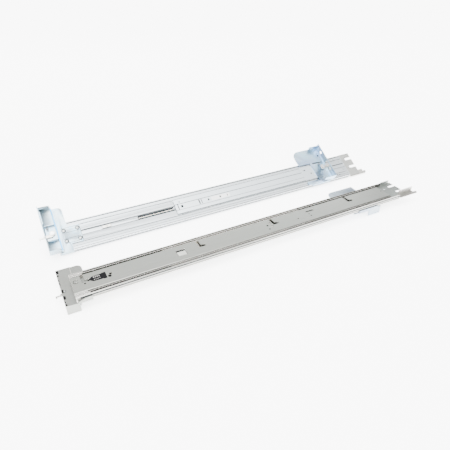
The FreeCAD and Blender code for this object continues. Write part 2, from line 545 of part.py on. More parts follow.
def cable_arm(rail):
    """The lower arm that takes the cable tray: a plate with a ledge towards the server."""
    seat = CABLE_BACK + " + cable_sheet"
    plate = rail.box(OUTER_END + " + arm_gap", "-arm_drop", seat,
                     "cable_end + arm_overhang - %s - arm_gap" % OUTER_END, "arm_height", "cable_sheet")
    ledge = rail.box(OUTER_END + " + arm_inset", "arm_height - arm_drop - cable_sheet", seat,
                     "cable_end + arm_overhang - %s - arm_inset - ledge_trim" % OUTER_END, "cable_sheet",
                     "arm_ledge")
    lower = rail.corner("(cable_end + arm_overhang)", "-arm_drop", seat, "arm_radius", "cable_sheet",
                        True, False)
    upper = rail.box("cable_end + arm_overhang - arm_tip", "arm_height - arm_drop - arm_tip_drop",
                     seat + " - over", "arm_tip + over", "arm_height", "cable_sheet + arm_ledge + 2 * over")
    rail.finish(rail.cut(rail.join([plate, ledge]), [lower, upper]), "cable_arm")


def cable_rivets(rail):
    """Rivets that hold the cable bracket, flush on the outboard side."""
    rivets = []
    for place, height in CABLE_RIVETS:
        shank = rail.rod_z(place, height, "0", "rivet_radius", CABLE_BACK + " + cable_sheet + rivet_rise")
        head = rail.rod_z(place, height, CABLE_BACK + " + cable_sheet", "rivet_head", "rivet_rise")
        rivets.append(rail.join([shank, head]))
    group = rail._new("Part::Compound", "rivets")
    group.Links = rivets
    rail.finish(group, "cable_rivets")


def lock_lever(rail):
    """The lever behind the first J slot that locks the server's stud, and its pin."""
    back = INNER_BACK + " - lever_gap - lever_sheet"
    blade = rail.box("lever_pivot_x - lever_root", "lever_pivot_y - 0.5 * lever_width", back,
                     "lever_length", "lever_width", "lever_sheet")
    hole = rail.rod_z("lever_pivot_x", "lever_pivot_y", back + " - over", "lever_pin + pivot_play",
                      "lever_sheet + 2 * over")
    rail.finish(rail.cut(blade, [hole]), "lock_lever")
    pin = rail.rod_z("lever_pivot_x", "lever_pivot_y", back + " - lever_foot", "lever_pin",
                     "lever_sheet + lever_foot + lever_gap")
    foot = rail.rod_z("lever_pivot_x", "lever_pivot_y", back + " - lever_foot", "lever_pin + foot_step",
                      "lever_foot - turn_play")
    rail.finish(rail.join([pin, foot]), "lever_pin")


def release_tab(rail):
    """The press tab in the window that frees the extended slide."""
    pad = rail.box("window_start + tab_play", "window_floor + tab_play",
                   INNER_FACE + " - tab_thick - face_step",
                   "window_length - 2 * tab_play", "tab_rise", "tab_thick")
    grooves = [rail.box("window_start + tab_play + grip_start + %d * grip_pitch" % number,
                        "window_floor + 2 * tab_play", INNER_FACE + " - grip_depth", "grip_width",
                        "tab_rise - 2 * tab_play", "over") for number in range(GRIPS)]
    rail.finish(rail.cut(pad, grooves), "release_tab")


def arrow_mark(rail):
    """The printed arrow that points to the front, as a thin film on the web."""
    block = rail.box("arrow_start + 0.5 * arrow_width", "sight_height - 0.5 * arrow_width", INNER_FACE,
                     "arrow_length - 0.5 * arrow_width", "arrow_width", "arrow_film")
    nose = rail.rod_z("arrow_start + 0.5 * arrow_width", "sight_height", INNER_FACE, "0.5 * arrow_width",
                      "arrow_film")
    rail.finish(rail.join([block, nose]), "arrow_mark")


def build_rail(rail):
    """Makes every sub-part of one rail."""
    outer_member(rail)
    middle_member(rail)
    inner_member(rail)
    cage(rail, "outer", "outer_sheet", CAGE_BACK, "body_depth", "large_ball", LARGE_BALL_Z,
         CAGE_FACE)
    cage(rail, "inner", "(%s + middle_sheet)" % MIDDLE_LOW, INNER_CAGE_BACK, "body_depth", "small_ball",
         SMALL_BALL_Z, CAGE_FACE)
    front_bracket(rail)
    latch_housing(rail)
    front_hook(rail)
    bracket_rivets(rail)
    stops(rail)
    rear_extension(rail)
    rear_bracket(rail)
    rear_latch(rail)
    cable_bracket(rail)
    cable_arm(rail)
    cable_rivets(rail)
    lock_lever(rail)
    release_tab(rail)
    arrow_mark(rail)


build_rail(Rail("left", 1))
build_rail(Rail("right", -1))
doc.recompute()

for item in doc.Objects:
    if "Invalid" in item.State or "Error" in item.State:
        raise RuntimeError("%s failed: %s" % (item.Label, item.State))
for item in SUBPARTS:
    if item.Shape.isNull() or not item.Shape.isValid():
        raise RuntimeError("%s has no valid shape" % item.Label)

os.makedirs("parts", exist_ok=True)
for item in SUBPARTS:
    item.Shape.exportStep("parts/%s.step" % item.Label)
print("wrote %d sub-parts" % len(SUBPARTS))
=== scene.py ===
"""Looks, light and camera of a sliding server rail pair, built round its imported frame.

Lengths inside the classes are millimetres in a rail's own frame: x runs from the front flange to the
rear, y up the rail's height, z towards the server, with z = 0 on the outer member's outboard face.
"""
import logging
import math
from dataclasses import dataclass
from enum import Enum
from functools import cache
from typing import ClassVar, Iterable, Sequence

import bmesh
import bpy
from bmesh.types import BMEdge, BMesh, BMFace, BMVert
from mathutils import Matrix, Vector


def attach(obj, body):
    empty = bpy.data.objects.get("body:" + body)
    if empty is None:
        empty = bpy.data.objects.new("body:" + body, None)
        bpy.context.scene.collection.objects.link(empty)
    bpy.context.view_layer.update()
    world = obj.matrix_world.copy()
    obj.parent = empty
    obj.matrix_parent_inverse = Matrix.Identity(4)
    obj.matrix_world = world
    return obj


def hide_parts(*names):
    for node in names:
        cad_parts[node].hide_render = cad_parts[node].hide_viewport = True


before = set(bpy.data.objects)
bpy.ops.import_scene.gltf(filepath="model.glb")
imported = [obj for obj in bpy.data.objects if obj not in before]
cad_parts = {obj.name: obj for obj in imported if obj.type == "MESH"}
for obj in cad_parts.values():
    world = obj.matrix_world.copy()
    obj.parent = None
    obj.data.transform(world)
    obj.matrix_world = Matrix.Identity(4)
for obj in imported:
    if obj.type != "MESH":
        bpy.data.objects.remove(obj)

log = logging.getLogger("server_rails")

MM = 0.001
# Rounded edges get this layer: lighter partly for wear and partly as painted highlight.
EDGE_WEAR_AND_HIGHLIGHT_LAYER = "edge_wear_and_highlight"
# Faces in the ball tracks get this layer, which paints shade on them.
TRACK_SHADE_LAYER = "track_painted_shade"

# How near to each other two corners are welded, in the mesh's own unit.
WELD = 2e-6
FINE_WELD = 1e-7
SEAM_WELD = 1e-5
LEAST_LENGTH = 1e-6

# Angles that tell flat faces, folds and sheared edges apart.
FLAT_ENOUGH = math.radians(0.5)
LEAST_FOLD = math.radians(60.0)
LEAST_SHEAR = math.radians(50.0)

# How far a thin film reaches to either side of its surface, and how finely springs and beads are cut.
FILM = 0.03
STEPS_A_TURN = 18
WIRE_SIDES = 8
BEAD_STEPS = 3

# A vector or colour with the same share in each place.
EVEN = (1.0, 1.0, 1.0)

Socket = bpy.types.NodeSocket
Colour = tuple[float, float, float]
Spot = tuple[float, float]
Point = tuple[float, float, float]


class Side(Enum):
    """Which rail of the pair, named as seen from the front of the rack."""

    LEFT = "left"
    RIGHT = "right"


class Body(Enum):
    """The moving bodies of one rail, by the ending of their names."""

    RACKED = "racked_rails"
    MIDDLE = "middle"
    INNER = "inner"
    OUTER_RACE = "outer_race"
    INNER_RACE = "inner_race"
    REAR = "rear"
    HOOK = "hook"
    LATCH = "latch"
    LEVER = "lever"
    RELEASE = "release"


@dataclass(frozen=True)
class RailPlace:
    """Where one rail lies: the left one flat on its flanges, the right one leaning on its lower edge."""

    side: Side
    lean: float = math.radians(31.0)
    setback: float = 138.0
    flange_reach: float = 17.0
    body_depth: float = 10.0
    centre_x: float = 341.5
    flange_height: float = 87.0
    box_step: float = 1.4
    arm_drop: float = 3.0

    @property
    def centre_y(self) -> float:
        """The middle of the pair across the rails."""
        top = self.flange_height * math.cos(self.lean) - self.box_step * math.sin(self.lean)
        return 0.5 * (self.setback + top - self.arm_drop)

    @property
    def turn(self) -> float:
        """How far this rail is turned about its length."""
        return 0.0 if self.side is Side.LEFT else self.lean

    def matrix(self) -> Matrix:
        """Finds the change from the rail's frame to the row frame.

        Returns:
            The matrix, from millimetres to metres.
        """
        if self.side is Side.LEFT:
            shift = Vector((-self.centre_x, -self.centre_y, self.flange_reach))
            return Matrix.Scale(MM, 4) @ Matrix.Translation(shift)
        rise = self.body_depth * math.cos(self.lean)
        shift = Vector((-self.centre_x, self.setback - self.centre_y, rise))
        mirror = Matrix.Diagonal((1.0, 1.0, -1.0, 1.0))
        turn = Matrix.Rotation(self.lean, 4, "X")
        return Matrix.Scale(MM, 4) @ Matrix.Translation(shift) @ turn @ mirror

    def body(self, body: Body) -> str:
        """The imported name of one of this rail's bodies."""
        return body.value if body is Body.RACKED else f"{self.side.value}_{body.value}"

    def node(self, name: str) -> str:
        """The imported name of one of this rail's CAD nodes."""
        return f"{self.side.value}_{name}"


@dataclass(frozen=True)
class Noise:
    """Cloudy noise: repeats per metre, octaves, their strength, and the levels that become 0 and 1."""

    scale: float
    detail: float = 2.0
    rough: float = 0.5
    levels: Spot | None = None


class Graph:
    """A material's node tree, with short ways to add and join its nodes."""

    def __init__(self, name: str, turn: float = 0.0) -> None:
        """Starts a material with a Principled shader and nothing else.

        Args:
            name: the material's name.
            turn: how far its rail leans about its length, in radians.
        """
        self.turn = turn
        self.material = bpy.data.materials.new(name)
        self.material.use_nodes = True
        self.tree = self.material.node_tree
        self.tree.nodes.clear()
        output = self.tree.nodes.new("ShaderNodeOutputMaterial")
        self.shader = self.tree.nodes.new("ShaderNodeBsdfPrincipled")
        self.tree.links.new(self.shader.outputs["BSDF"], output.inputs["Surface"])

    def feed(self, socket: Socket, value: "float | Colour | Socket") -> None:
        """Gives an input a number, a colour, a vector or another node's output.

        Args:
            socket: the input.
            value: what it gets.
        """
        if isinstance(value, Socket):
            self.tree.links.new(value, socket)
        elif socket.type == "RGBA":
            socket.default_value = (*value, 1.0)
        else:
            socket.default_value = value

    def set(self, name: str, value: "float | Colour | Socket") -> None:
        """Gives one of the shader's inputs its value."""
        self.feed(self.shader.inputs[name], value)

    def add(self, kind: str, gives: str, **inputs: "float | Colour | Socket") -> Socket:
        """Adds a node and feeds its inputs.

        Args:
            kind: the node's type, without its ShaderNode.
            gives: which of its outputs is wanted.
            inputs: what its inputs get, their names written with _ for a space.

        Returns:
            The output.
        """
        node = self.tree.nodes.new("ShaderNode" + kind)
        for name, value in inputs.items():
            self.feed(node.inputs[name.replace("_", " ")], value)
        return node.outputs[gives]

    def mapped(self, scale: Point) -> Socket:
        """Object coordinates, turned back to lie along the rail and scaled.

        Args:
            scale: repeats per metre along, up and through the rail.

        Returns:
            The vector output.
        """
        upright = self.add("Mapping", "Vector", Rotation=(-self.turn, 0.0, 0.0),
                           Vector=self.add("TexCoord", "Object"))
        return self.add("Mapping", "Vector", Scale=scale, Vector=upright)

    def noise(self, vector: Socket, kind: "Noise") -> Socket:
        """Cloudy noise.

        Args:
            vector: where to read it.
            kind: its scale, octaves and levels.

        Returns:
            The factor output, stretched where the noise has levels.
        """
        share = self.add("TexNoise", "Fac", Scale=kind.scale, Detail=kind.detail, Roughness=kind.rough,
                         Vector=vector)
        return self.ramp(share, *kind.levels) if kind.levels else share

    def crystals(self, vector: Socket, scale: float) -> Socket:
        """Flat cells with a random tone each, from 0 to 1, as zinc crystals have."""
        return self.add("SeparateColor", "Red", Color=self.add("TexVoronoi", "Color", Scale=scale,
                                                               Vector=vector))

    def ramp(self, share: Socket, low: float, high: float) -> Socket:
        """Stretches the part of a share between two levels to the whole of 0 to 1."""
        return self.add("MapRange", "Result", Value=share, From_Min=low, From_Max=high)

    def math(self, operation: str, *numbers: "float | Socket") -> Socket:
        """A sum on two or three numbers.

        Args:
            operation: the node's name for it, such as ADD.
            numbers: the numbers.

        Returns:
            The result.
        """
        result = self.add("Math", "Value")
        result.node.operation = operation
        for socket, number in zip(result.node.inputs, numbers):
            self.feed(socket, number)
        return result

    def around(self, share: Socket, middle: float, spread: float) -> Socket:
        """A number that varies about a middle with a share from 0 to 1."""
        return self.math("MULTIPLY_ADD", share, spread, middle - spread / 2)

    def times(self, first: Socket, second: "float | Socket") -> Socket:
        """Two numbers multiplied."""
        return self.math("MULTIPLY", first, second)

    def mix(self, share: Socket, first: "Colour | Socket", second: "Colour | Socket") -> Socket:
        """A blend of two colours.

        Args:
            share: the share of the second colour.
            first: the first colour.
            second: the second colour.

        Returns:
            The blend.
        """
        node = self.tree.nodes.new("ShaderNodeMix")
        node.data_type = "RGBA"
        self.feed(node.inputs["Factor"], share)
        colours = [socket for socket in node.inputs if socket.type == "RGBA"]
        self.feed(colours[0], first)
        self.feed(colours[1], second)
        return next(socket for socket in node.outputs if socket.type == "RGBA")

    def bump(self, height: Socket, strength: float, depth_mm: float) -> None:
        """Raises the surface by a height, to a depth in millimetres."""
        self.set("Normal", self.add("Bump", "Normal", Strength=strength, Distance=depth_mm * MM,
                                    Height=height))

    def layer(self, name: str) -> Socket:
        """Reads one of the piece's own attributes.

        Args:
            name: the attribute.

        Returns:
            The share that it gives, from 0 to 1.
        """
        share = self.add("Attribute", "Fac")
        share.node.attribute_name = name
        return share


@dataclass(frozen=True)
class Finish:
    """What a piece is finished with. Colours are linear, and scales are repeats per metre."""

    metal: ClassVar[float] = 1.0

    name: str
    slot: str
    base: Colour
    second: Colour

    @cache
    def build(self, place: RailPlace) -> bpy.types.Material:
        """Builds the finish for one rail when it is first asked for, and keeps it.

        Args:
            place: the rail it is for, so that the grain runs along it.

        Returns:
            The material.
        """
        graph = Graph(f"{self.name}_{place.side.value}", place.turn)
        graph.set("Metallic", self.metal)
        self._fill(graph)
        return graph.material

    def _fill(self, graph: Graph) -> None:
        """Joins the finish's own nodes to the shader."""
        raise NotImplementedError


@dataclass(frozen=True)
class SheetFinish(Finish):
    """Rolled sheet steel: cloudy tone, rolling grain along the rail, fine scratches, and worn edges
    lightened partly as painted highlight.
    """

    worn: Colour
    roughness: float = 0.34
    spangle: float = 0.0
    track_shade_colour: Colour = (0.035, 0.033, 0.03)
    along: Point = (0.02, 1.0, 1.0)
    across: Point = (0.3, 1.0, 1.0)
    cloud: Noise = Noise(6.0, 3.0, 0.55, (0.32, 0.68))
    grain: Noise = Noise(900.0, 3.0, 0.6)
    scratches: Noise = Noise(2340.0, 1.0, 0.5, (0.62, 0.7))
    patches: Noise = Noise(160.0, 2.0, 0.5, (0.1, 0.5))
    track_shade_noise: Noise = Noise(55.0, 2.0, 0.5, (0.2, 0.8))
    grain_tones: Spot = (0.45, 0.75)
    grain_roughs: Spot = (0.3, 0.7)
    rough_spread: float = 0.12
    grain_depth: float = 0.05
    scratch: float = 0.12
    scratch_dip: float = -0.6
    cell_light: float = 1.1
    cell_share: float = 0.3
    cell_rough: float = 0.03
    track_shade_spread: float = 0.25
    track_shade_least: float = 0.7
    track_shade_rough: float = 0.25
    worn_gloss: float = 0.1
    relief: Spot = (0.35, 0.004)

    def _fill(self, graph: Graph) -> None:
        """Lays cloud, grain, scratches, spangle, edge wear with painted highlight, and painted shade in
        the ball tracks over each other.

        Args:
            graph: the material's nodes.
        """
        even = graph.mapped(EVEN)
        along = graph.mapped(self.along)
        sheen = graph.mapped(self.across)
        grain = graph.noise(along, self.grain)
        fine = graph.noise(along, self.scratches)
        tone = graph.mix(graph.noise(sheen, self.cloud), self.base, self.second)
        shade = tuple(c * (1.0 - self.grain_depth) for c in self.base)
        tone = graph.mix(graph.ramp(grain, *self.grain_tones), tone, shade)
        tone = graph.mix(graph.times(fine, self.scratch), tone, self.worn)
        rough = graph.around(graph.ramp(grain, *self.grain_roughs), self.roughness, self.rough_spread)
        if self.spangle > 0.0:
            cell = graph.crystals(even, self.spangle)
            light = tuple(min(1.0, c * self.cell_light) for c in self.base)
            tone = graph.mix(graph.times(cell, self.cell_share), tone, light)
            rough = graph.math("ADD", rough, graph.times(cell, self.cell_rough))
        # Rounded edges lighter: partly wear, partly painted highlight.
        rubbed_and_lit_edges = graph.times(graph.layer(EDGE_WEAR_AND_HIGHLIGHT_LAYER), graph.noise(even, self.patches))
        tone = graph.mix(rubbed_and_lit_edges, tone, self.worn)
        # Painted shade on the ball-track faces, varied by noise.
        track_shade_variation = graph.math("MULTIPLY_ADD", graph.noise(sheen, self.track_shade_noise), self.track_shade_spread,
                           self.track_shade_least)
        track_shade = graph.times(graph.layer(TRACK_SHADE_LAYER), track_shade_variation)
        tone = graph.mix(track_shade, tone, self.track_shade_colour)
        graph.set("Base Color", tone)
        rough = graph.math("SUBTRACT", rough, graph.times(rubbed_and_lit_edges, self.worn_gloss))
        rough = graph.math("ADD", rough, graph.times(track_shade, self.track_shade_rough))
        graph.set("Roughness", rough)
        height = graph.math("ADD", grain, graph.times(fine, self.scratch_dip))
        graph.bump(height, *self.relief)


@dataclass(frozen=True)
class PassivatedFinish(Finish):
    """Blue-passivated zinc: the film's colour drifts between cyan, violet and pale grey."""

    third: Colour
    worn: Colour
    roughness: float = 0.3
    along: Point = (0.05, 1.0, 1.0)
    drift: Noise = Noise(26.0, 2.0, 0.5, (0.35, 0.62))
    bands: Noise = Noise(59.8, 3.0, 0.6, (0.45, 0.7))
    grain: Noise = Noise(900.0, 3.0, 0.6)
    grain_tones: Spot = (0.5, 0.8)
    band_share: float = 0.75
    grain_share: float = 0.25
    wear_and_highlight_share: float = 0.8
    rough_spread: float = 0.18
    relief: Spot = (0.3, 0.015)

    def _fill(self, graph: Graph) -> None:
        """Lays drifting colours, grain, and edge wear with painted highlight over each other.

        Args:
            graph: the material's nodes.
        """
        even = graph.mapped(EVEN)
        grain = graph.noise(graph.mapped(self.along), self.grain)
        tone = graph.mix(graph.noise(even, self.drift), self.base, self.second)
        tone = graph.mix(graph.times(graph.noise(even, self.bands), self.band_share), tone,
                         self.third)
        fine = graph.times(graph.ramp(grain, *self.grain_tones), self.grain_share)
        tone = graph.mix(fine, tone, self.worn)
        # Rounded edges lighter: partly wear, partly painted highlight.
        tone = graph.mix(graph.times(graph.layer(EDGE_WEAR_AND_HIGHLIGHT_LAYER), self.wear_and_highlight_share), tone, self.worn)
        graph.set("Base Color", tone)
        graph.set("Roughness", graph.around(grain, self.roughness, self.rough_spread))
        graph.bump(grain, *self.relief)


@dataclass(frozen=True)
class TurnedFinish(Finish):
    """Hard bright steel of balls, rivets, pins and springs, with faint turning marks and oil bloom."""

    roughness: float = 0.16
    bloom: Noise = Noise(420.0, 3.0, 0.6, (0.45, 0.7))
    turning: Noise = Noise(2600.0, 2.0)
    bloom_rough: float = 0.16
    relief: Spot = (0.2, 0.008)

    def _fill(self, graph: Graph) -> None:
        """Lays the bloom over the steel.

        Args:
            graph: the material's nodes.
        """
        even = graph.mapped(EVEN)
        bloom = graph.noise(even, self.bloom)
        graph.set("Base Color", graph.mix(bloom, self.base, self.second))
        graph.set("Roughness", graph.math("MULTIPLY_ADD", bloom, self.bloom_rough, self.roughness))
        graph.bump(graph.noise(even, self.turning), *self.relief)


@dataclass(frozen=True)
class CoatedFinish(Finish):
    """A dull film or moulding: print, label stock, or moulded plastic."""

    metal: ClassVar[float] = 0.0

    roughness: float = 0.55
    gloss: float = 0.25
    mottle: Noise = Noise(900.0, 3.0, 0.6, (0.4, 0.7))
    specks: Noise = Noise(2700.0, 1.0, 0.5, (0.66, 0.72))
    speck_share: float = 0.3
    rough_spread: float = 0.14
    relief: Spot = (0.3, 0.02)

    def _fill(self, graph: Graph) -> None:
        """Lays mottling and specks over the coat.

        Args:
            graph: the material's nodes.
        """
        graph.set("Specular IOR Level", self.gloss)
        even = graph.mapped(EVEN)
        mottle = graph.noise(even, self.mottle)
        tone = graph.mix(mottle, self.base, self.second)
        speck = graph.times(graph.noise(even, self.specks), self.speck_share)
        graph.set("Base Color", graph.mix(speck, tone, self.second))
        graph.set("Roughness", graph.around(mottle, self.roughness, self.rough_spread))
        graph.bump(mottle, *self.relief)


SATIN_STEEL = SheetFinish("satin_steel", "satin_steel", (0.34, 0.345, 0.31), (0.33, 0.35, 0.33),
                          (0.7, 0.69, 0.65), roughness=0.33)
# Left and right pairs of one finish each (warm and outer zinc, bracket and pale bracket, green cable and
# cable, grey-blue and blue): painted shade on the left rail, painted light and reflection on the right.
OUTER_ZINC = SheetFinish("outer_zinc", "zinc_sheet", (0.46, 0.49, 0.5), (0.43, 0.475, 0.51),
                         (0.8, 0.83, 0.85), roughness=0.38, spangle=700.0)
WARM_ZINC = SheetFinish("warm_zinc", "zinc_sheet", (0.42, 0.415, 0.385), (0.4, 0.405, 0.38),
                        (0.72, 0.7, 0.66), roughness=0.38, spangle=700.0)
EXTENSION_ZINC = SheetFinish("extension_zinc", "zinc_sheet", (0.5, 0.54, 0.56), (0.47, 0.53, 0.57),
                             (0.84, 0.88, 0.9), roughness=0.36, spangle=700.0)
LIP_STEEL = SheetFinish("lip_steel", "zinc_sheet", (0.6, 0.59, 0.55), (0.55, 0.54, 0.5),
                        (0.85, 0.84, 0.8), roughness=0.28)
BRIGHT_ZINC = SheetFinish("bright_zinc", "bright_zinc", (0.52, 0.51, 0.47), (0.48, 0.47, 0.44),
                          (0.66, 0.65, 0.62), roughness=0.3)
BRACKET_ZINC = SheetFinish("bracket_zinc", "bracket_zinc", (0.29, 0.295, 0.27), (0.27, 0.29, 0.275),
                           (0.72, 0.72, 0.68), roughness=0.38, spangle=500.0)
PALE_BRACKET_ZINC = PassivatedFinish("pale_bracket_zinc", "bracket_zinc", (0.42, 0.48, 0.49),
                                     (0.34, 0.43, 0.49), (0.22, 0.4, 0.54), (0.72, 0.79, 0.82),
                                     roughness=0.34)
CABLE_ZINC = SheetFinish("cable_zinc", "cable_zinc", (0.38, 0.385, 0.36), (0.36, 0.37, 0.355),
                         (0.74, 0.73, 0.7), roughness=0.38, spangle=500.0)
GREEN_CABLE_ZINC = SheetFinish("green_cable_zinc", "cable_zinc", (0.27, 0.29, 0.27), (0.25, 0.275, 0.26),
                               (0.62, 0.63, 0.6), roughness=0.38, spangle=500.0)
CAGE_STRIP = SheetFinish("cage_strip", "cage_strip", (0.66, 0.64, 0.58), (0.6, 0.58, 0.53),
                         (0.88, 0.86, 0.82), roughness=0.25)
BLUE_ZINC = PassivatedFinish("blue_zinc", "blue_zinc", (0.36, 0.56, 0.68), (0.36, 0.46, 0.62),
                             (0.5, 0.64, 0.68), (0.78, 0.88, 0.92))
GREY_BLUE_ZINC = PassivatedFinish("grey_blue_zinc", "blue_zinc", (0.33, 0.4, 0.46), (0.31, 0.36, 0.44),
                                  (0.38, 0.44, 0.46), (0.7, 0.76, 0.8))
BALL_STEEL = TurnedFinish("ball_steel", "ball_steel", (0.64, 0.64, 0.65), (0.5, 0.5, 0.5))
RIVET_STEEL = TurnedFinish("rivet_steel", "rivet_steel", (0.36, 0.38, 0.38), (0.27, 0.29, 0.29), 0.3)
SPRING_STEEL = TurnedFinish("spring_steel", "ball_steel", (0.32, 0.32, 0.33), (0.22, 0.22, 0.22), 0.22)
LEVER_GREY = CoatedFinish("lever_grey", "lever_grey", (0.1, 0.105, 0.095), (0.13, 0.135, 0.125), 0.45)
PRINT_BLACK = CoatedFinish("print_black", "print_black", (0.004, 0.004, 0.005), (0.009, 0.009, 0.009),
                           0.8, gloss=0.05)
PRINT_WHITE = CoatedFinish("print_white", "print_black", (0.35, 0.34, 0.33), (0.28, 0.27, 0.26), 0.6)
LABEL_STOCK = CoatedFinish("label_stock", "zinc_sheet", (0.7, 0.7, 0.69), (0.64, 0.65, 0.66), 0.5)
SHADOW_HOLE = CoatedFinish("hole_dark", "print_black", (0.006, 0.006, 0.006), (0.012, 0.012, 0.012), 0.9,
                           gloss=0.02)
# Painted shade for narrow lines at edges, gaps and slits.
SHADE_LINE_DARK = CoatedFinish("painted_shade_line", "zinc_sheet", (0.02, 0.022, 0.024), (0.035, 0.04, 0.042), 0.8,
                         gloss=0.05)
TAB_GREY = CoatedFinish("tab_grey", "lever_grey", (0.4, 0.41, 0.38), (0.34, 0.35, 0.32), 0.45)
# A painted blue highlight for the bracket's fold.
FOLD_HIGHLIGHT_BLUE = PassivatedFinish("fold_highlight_blue", "bracket_zinc", (0.04, 0.2, 0.42), (0.06, 0.25, 0.47),
                             (0.1, 0.3, 0.5), (0.2, 0.4, 0.6), roughness=0.34)


@dataclass(frozen=True)
class TrackFaces:
    """Which faces of a member lie in its ball tracks and get painted shade, in millimetres."""

    low_z: float = 1.0
    high_z: float = 9.0
    middle_y: float = 28.0
    below_y: float | None = None
    square: float = 0.6

    def has(self, centre: Vector, normal: Vector) -> bool:
        """Whether a face belongs to the tracks.

        Args:
            centre: its middle in the rail's frame.
            normal: which way it faces there.

        Returns:
            True for a face that balls run beside.
        """
        if self.below_y is not None:
            return centre.y < self.below_y
        inward = (centre.y - self.middle_y) * normal.y < 0.0
        return self.low_z < centre.z < self.high_z and abs(normal.y) > self.square and inward


@dataclass(frozen=True)
class EdgeForm:
    """How the edges of a stamped piece are rounded, in millimetres."""

    sheared: float = 0.16
    folded: float = 1.0
    inside: float = 0.45
    fold_width: float = 2.6
    fold_length: float = 6.0
    steps: tuple[int, int, int] = (4, 3, 2)
    tracks: "TrackFaces | None" = None


FLAT_STAMPING = EdgeForm(folded=0.0, inside=0.0)
SHEARED_PLATE = EdgeForm(sheared=0.2, folded=0.0, inside=0.0)
# Cage strips get painted shade below y = 20 mm.
THIN_STRIP = EdgeForm(sheared=0.09, folded=0.0, inside=0.0, tracks=TrackFaces(below_y=20.0))
OUTER_FORM = EdgeForm(sheared=0.2, folded=0.95, inside=0.4, tracks=TrackFaces())
NESTED_FORM = EdgeForm(sheared=0.2, folded=0.95, inside=0.4, tracks=TrackFaces(high_z=9.3))
INNER_FORM = EdgeForm(sheared=0.2, folded=0.95, inside=0.4)
FOLDED_BRACKET = EdgeForm(sheared=0.22, folded=1.25, inside=0.5)


def put(name: str, data: bpy.types.ID) -> bpy.types.Object:
    """Puts a new object in the scene.

    Args:
        name: its name.
        data: its mesh, light or camera.

    Returns:
        The object.
    """
    made = bpy.data.objects.new(name, data)
    bpy.context.scene.collection.objects.link(made)
    return made


def round_edges(work: BMesh, edges: Iterable[BMEdge], offset: float, segments: int) -> list[BMFace]:
    """Rounds edges.

    Args:
        work: the mesh they belong to.
        edges: the edges.
        offset: how far they are rounded, in the mesh's own unit.
        segments: the steps of the rounding.

    Returns:
        The faces that this makes.
    """
    chosen = list(edges)
    if not chosen or offset <= 0.0:
        return []
    made = bmesh.ops.bevel(work, geom=chosen, offset=offset, offset_type="OFFSET", segments=segments,
                           profile=0.5, affect="EDGES", clamp_overlap=True, material=-1)
    return made["faces"]


